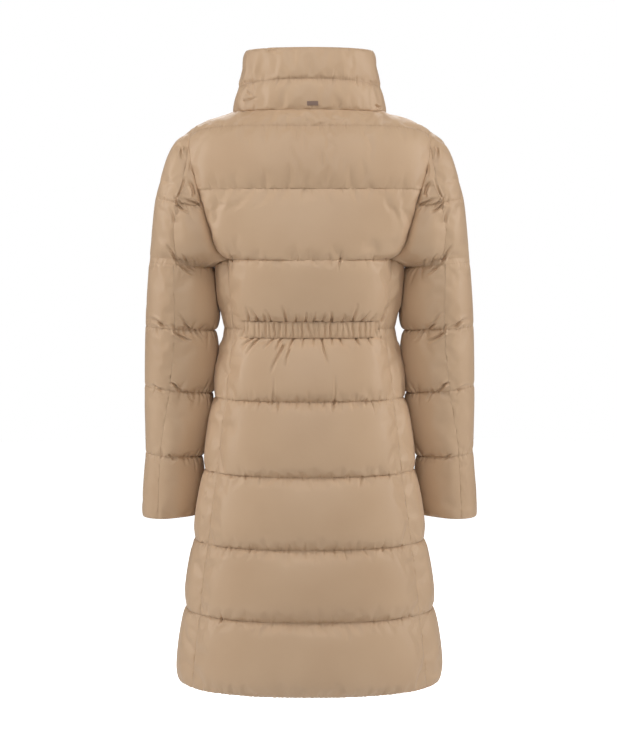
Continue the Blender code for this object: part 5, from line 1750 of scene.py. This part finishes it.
def build_plate():
    """The plate, turned as its solid lies."""
    solid = bpy.data.objects["collar_plate"]
    corners = np.array([solid.matrix_world @ v.co for v in solid.data.vertices])
    centre = corners.mean(axis=0)
    _, _, axes = np.linalg.svd((corners - centre)[:, 1:])
    tall = axes[0] * math.copysign(1.0, axes[0][1])
    out = np.array([tall[1], -tall[0]])
    half = PLATE_THICK / 2
    # how far in, corner and height of each ring, from the back's edge to the sunk middle
    steps = ((0.0, PLATE_CORNER, -half), (0.0, PLATE_CORNER, half - PLATE_BEVEL),
             (PLATE_BEVEL, PLATE_CORNER, half), (PLATE_BORDER, PLATE_CORNER * 0.6, half),
             (PLATE_BORDER + PLATE_BEVEL, PLATE_CORNER * 0.5, half - PLATE_SUNK))
    rings = [rounded(PLATE_WIDE / 2 - inset, PLATE_TALL / 2 - inset, corner, height)
             for inset, corner, height in steps]
    points = [centre + np.array([x, tall[0] * z + out[0] * y, tall[1] * z + out[1] * y])
              for ring in rings for x, y, z in ring]
    count = len(rings[0])
    last = (len(rings) - 1) * count
    faces = [tuple(range(count)), tuple(last + i for i in reversed(range(count)))]
    for layer in range(len(rings) - 1):
        for i in range(count):
            a, b = layer * count + i, layer * count + (i + 1) % count
            faces.append((b, a, a + count, b + count))
    return joined_mesh("plain_plate", points, faces)


PLATE = build_plate()
print("plate at", [round(v, 4) for v in np.mean([v.co for v in PLATE.data.vertices], axis=0)])

# %% [markdown]
# ## Nylon
# Down-proof nylon is a fine, tight weave with a soft sheen. It is smooth between the seams and
# finely crumpled where the down has shifted, and its colour is never perfectly even. A picture
# of cloth would stretch over the puffs, so the material reads noise at each point in space, and
# for the ripples, and for the painted shade in the sewn lines, it reads the distances that the
# panels store.


# %% A material, its colours and its noises
def new_material(name, colour, roughness, metallic=0.0, **sockets):
    """Material with a Principled shader, its plain values set on its own sockets."""
    made = bpy.data.materials.new(name)
    made.use_nodes = True
    shader = made.node_tree.nodes["Principled BSDF"]
    shader.inputs["Base Color"].default_value = (*colour, 1.0)
    shader.inputs["Roughness"].default_value = roughness
    shader.inputs["Metallic"].default_value = metallic
    for socket, value in sockets.items():
        shader.inputs[socket.replace("_", " ")].default_value = value
    return made, made.node_tree.nodes, made.node_tree.links, shader


def colour_of(red, green, blue):
    """Linear colour from 0-255 screen values."""
    return tuple(((v / 255 + 0.055) / 1.055) ** 2.4 for v in (red, green, blue))


def add_noise(nodes, links, source, scale, detail=3.0, rough=0.5):
    """Noise read at a vector."""
    texture = nodes.new("ShaderNodeTexNoise")
    texture.inputs["Scale"].default_value = scale
    texture.inputs["Detail"].default_value = detail
    texture.inputs["Roughness"].default_value = rough
    links.new(source, texture.inputs["Vector"])
    return texture.outputs["Fac"]


def spread(nodes, links, value, low, high):
    """Map a 0-1 value to a range."""
    mapped = nodes.new("ShaderNodeMapRange")
    mapped.inputs["To Min"].default_value = low
    mapped.inputs["To Max"].default_value = high
    links.new(value, mapped.inputs["Value"])
    return mapped.outputs["Result"]


# %% Bumps, mixes and stored values
def add_bump(nodes, links, height, distance, strength=1.0, under=None):
    """Bump read from a height, over the normal of another bump if there is one."""
    bump = nodes.new("ShaderNodeBump")
    bump.inputs["Strength"].default_value = strength
    bump.inputs["Distance"].default_value = distance
    links.new(height, bump.inputs["Height"])
    if under:
        links.new(under.outputs["Normal"], bump.inputs["Normal"])
    return bump


def add_mix(nodes, links, factor, colour):
    """Mix towards a plain colour; its first colour is left to the caller."""
    mix = nodes.new("ShaderNodeMix")
    mix.data_type = "RGBA"
    mix.inputs["B"].default_value = (*colour, 1.0)
    links.new(factor, mix.inputs["Factor"])
    return mix


def stored(nodes, name):
    """Value that the mesh stores under a name."""
    attribute = nodes.new("ShaderNodeAttribute")
    attribute.attribute_name = name
    return attribute.outputs["Fac"]


# %% The nylon's colour
NYLON_LIGHT, NYLON_DARK = colour_of(196, 166, 135), colour_of(185, 154, 123)
# painted shade: a dark brown mixed into the nylon down in the sewn lines, standing in for the
# shadow in their grooves
NYLON_PAINTED_SHADE, PAINTED_SHADE_SHARE, PAINTED_SHADE_POWER = colour_of(140, 108, 78), 0.28, 3.0
# scales of the noises, finer with a larger number
PATCH_SCALE, SHEEN_SCALE, CRUMPLE_SCALE, WEAVE_SCALE = 7.0, 40.0, 55.0, 1400.0
RIPPLE_SCALE = (330.0, 28.0, 1.0)


def nylon_colour_with_painted_shade(nodes, links, place):
    """Two close browns in large soft patches, with painted shade darkening the colour down in the
    sewn lines.
    """
    patches = add_noise(nodes, links, place, PATCH_SCALE, 2.0)
    blend = add_mix(nodes, links, spread(nodes, links, patches, -0.3, 1.3), NYLON_LIGHT)
    blend.inputs["A"].default_value = (*NYLON_DARK, 1.0)
    # painted shade: the nearer a point is to a sewn line, the more of the dark brown is mixed in
    deep = nodes.new("ShaderNodeMath")
    deep.operation = "POWER"
    deep.inputs[1].default_value = PAINTED_SHADE_POWER
    links.new(stored(nodes, "near_line"), deep.inputs[0])
    share = spread(nodes, links, deep.outputs[0], 0.0, PAINTED_SHADE_SHARE)
    shade = add_mix(nodes, links, share, NYLON_PAINTED_SHADE)
    links.new(blend.outputs["Result"], shade.inputs["A"])
    return shade.outputs["Result"]


# %% The nylon's bumps
def nylon_bumps(nodes, links, place):
    """A crumple everywhere, ripples square to the sewn lines and a fine weave."""
    crumple = add_bump(nodes, links, add_noise(nodes, links, place, CRUMPLE_SCALE, 4.0, 0.55),
                       0.002, 0.25)
    join = nodes.new("ShaderNodeCombineXYZ")
    links.new(stored(nodes, "around"), join.inputs["X"])
    links.new(stored(nodes, "height"), join.inputs["Y"])
    stretched = nodes.new("ShaderNodeMapping")
    stretched.inputs["Scale"].default_value = RIPPLE_SCALE
    links.new(join.outputs["Vector"], stretched.inputs["Vector"])
    ripple = add_bump(nodes, links,
                      add_noise(nodes, links, stretched.outputs["Vector"], 1.0, 2.0),
                      0.0022, under=crumple)
    links.new(spread(nodes, links, stored(nodes, "near_line"), 0.0, 0.8),
              ripple.inputs["Strength"])
    return add_bump(nodes, links, add_noise(nodes, links, place, WEAVE_SCALE, 2.0),
                    0.0002, 0.12, under=ripple).outputs["Normal"]


# %% The nylon itself, on every panel
def nylon():
    """Down-proof nylon with a soft sheen."""
    made, nodes, links, shader = new_material("nylon", NYLON_LIGHT, 0.5, Sheen_Weight=0.08,
                                              Sheen_Roughness=0.35, Specular_IOR_Level=0.42)
    place = nodes.new("ShaderNodeTexCoord").outputs["Object"]
    links.new(nylon_colour_with_painted_shade(nodes, links, place), shader.inputs["Base Color"])
    links.new(spread(nodes, links, add_noise(nodes, links, place, SHEEN_SCALE), 0.42, 0.58),
              shader.inputs["Roughness"])
    links.new(nylon_bumps(nodes, links, place), shader.inputs["Normal"])
    return made


NYLON = nylon()
for name, panel in PANELS.items():
    panel.data.materials.append(NYLON)
    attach(panel, COAT)
    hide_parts(name)
print("nylon nodes", len(NYLON.node_tree.nodes), "on", len(PANELS), "panels")


# %% Tape, thread and metal
def woven(name, colour, scale):
    """Matt woven band with a fine rib."""
    made, nodes, links, shader = new_material(name, colour, 0.75)
    place = nodes.new("ShaderNodeTexCoord").outputs["Object"]
    rib = nodes.new("ShaderNodeTexWave")
    rib.bands_direction = "DIAGONAL"
    rib.inputs["Scale"].default_value = scale
    rib.inputs["Distortion"].default_value = 1.0
    links.new(place, rib.inputs["Vector"])
    bump = add_bump(nodes, links, rib.outputs["Fac"], 0.0003, 0.4)
    links.new(bump.outputs["Normal"], shader.inputs["Normal"])
    return made


def satin_metal(name, colour, roughness):
    """Dark metal with faint brush marks."""
    made, nodes, links, shader = new_material(name, colour, roughness, 1.0)
    place = nodes.new("ShaderNodeTexCoord").outputs["Object"]
    stretched = nodes.new("ShaderNodeMapping")
    stretched.inputs["Scale"].default_value = (300.0, 300.0, 4000.0)
    links.new(place, stretched.inputs["Vector"])
    marks = add_noise(nodes, links, stretched.outputs["Vector"], 1.0, 2.0)
    links.new(spread(nodes, links, marks, roughness - 0.06, roughness + 0.08),
              shader.inputs["Roughness"])
    return made


THREAD_STUFF = woven("thread", colour_of(176, 146, 116), 900.0)
TAPE_STUFF = woven("zip_tape_weave", colour_of(166, 137, 108), 700.0)
METAL = satin_metal("zip_satin", (0.20, 0.18, 0.165), 0.36)
PLATE_METAL = satin_metal("plate_satin", (0.33, 0.235, 0.19), 0.46)
print("materials", [stuff.name for stuff in (THREAD_STUFF, TAPE_STUFF, METAL, PLATE_METAL)])


# %% Dress every other piece
def dress(piece, stuff):
    """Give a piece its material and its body."""
    piece.data.materials.append(stuff)
    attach(piece, COAT)


dress(waist_casing, NYLON)
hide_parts("waist_band")
for name in SIDES:
    dress(TAPES[name], TAPE_STUFF)
    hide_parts("zip_tape_" + name)
    dress(TEETH[name], METAL)
dress(THREAD, THREAD_STUFF)
dress(PLATE, PLATE_METAL)
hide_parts("collar_plate")
for node in ("zip_slider", "zip_pull_tab"):
    for slot in bpy.data.objects[node].material_slots:
        slot.material = METAL
print("dressed", [piece.name for piece in (waist_casing, THREAD, PLATE)], "tapes and teeth")

# %% [markdown]
# ## Floor, light and camera
# The coat floats at the height of a standing wearer over a wide white floor, in front of a white
# background, so that its outline is clear from every side. Two tall soft lights stand at its
# sides, a high one and a weak one light the back, and one more lights the front. One hard lamp
# would show the creases more, but leave half of each channel black.

# %% Floor
FLOOR_LEVEL = -1.42


def pale_stage():
    """Wide white floor that shows as white as the background."""
    work = bmesh.new()
    bmesh.ops.create_circle(work, cap_ends=True, radius=7.0, segments=96)
    mesh = bpy.data.meshes.new("stage")
    work.to_mesh(mesh)
    work.free()
    floor = new_object("stage", mesh)
    floor.location.z = FLOOR_LEVEL
    paper, nodes, links, shader = new_material("stage_paper", (0.93, 0.93, 0.93), 0.9,
                                               Emission_Color=(1.0, 1.0, 1.0, 1.0))
    links.new(nodes.new("ShaderNodeLightPath").outputs["Is Camera Ray"],
              shader.inputs["Emission Strength"])
    mesh.materials.append(paper)


pale_stage()
print("floor", -FLOOR_LEVEL, "m below the neck seam")


# %% Lights
def soft_light(name, place, aim, size, power):
    """Rectangular lamp that the camera doesn't see."""
    data = bpy.data.lights.new(name, "AREA")
    data.shape = "RECTANGLE"
    data.size, data.size_y = size
    data.energy = power
    lamp = new_object(name, data)
    lamp.location = place
    lamp.rotation_euler = (Vector(aim) - Vector(place)).to_track_quat("-Z", "Y").to_euler()
    lamp.visible_camera = False


soft_light("left_box", (2.7, 0.45, 0.5), (0, 0, -0.35), (1.2, 2.2), 42)
soft_light("right_box", (-2.7, 0.45, 0.5), (0, 0, -0.35), (1.2, 2.2), 42)
soft_light("near_box", (0.0, 2.4, 0.6), (0, 0, -0.25), (1.8, 1.2), 22)
soft_light("top_box", (0.0, 1.6, 2.2), (0, 0, -0.1), (2.4, 1.0), 30)
soft_light("front_box", (0.0, -2.4, 1.7), (0, 0, -0.3), (2.4, 1.4), 50)
world = bpy.data.worlds.new("studio")
bpy.context.scene.world = world
world.use_nodes = True
world_nodes, world_links = world.node_tree.nodes, world.node_tree.links
world_nodes["Background"].inputs["Color"].default_value = (1.0, 1.0, 1.0, 1.0)
seen = world_nodes.new("ShaderNodeLightPath").outputs["Is Camera Ray"]
world_links.new(spread(world_nodes, world_links, seen, 0.08, 1.0),
                world_nodes["Background"].inputs["Strength"])

# %% Camera
LENS, CAMERA_AT, CAMERA_AIM = 83.2, (0.0018, 3.0, -0.202), (0.0018, 0.0, -0.449)
camera_data = bpy.data.cameras.new("camera")
camera_data.lens = LENS
camera = new_object("camera", camera_data)
camera.location = CAMERA_AT
camera.rotation_euler = (Vector(CAMERA_AIM) - camera.location).to_track_quat("-Z", "Y").to_euler()
bpy.context.scene.camera = camera
bpy.context.scene.view_settings.view_transform = "Standard"
print("camera at", CAMERA_AT, "with a lens of", LENS, "mm")
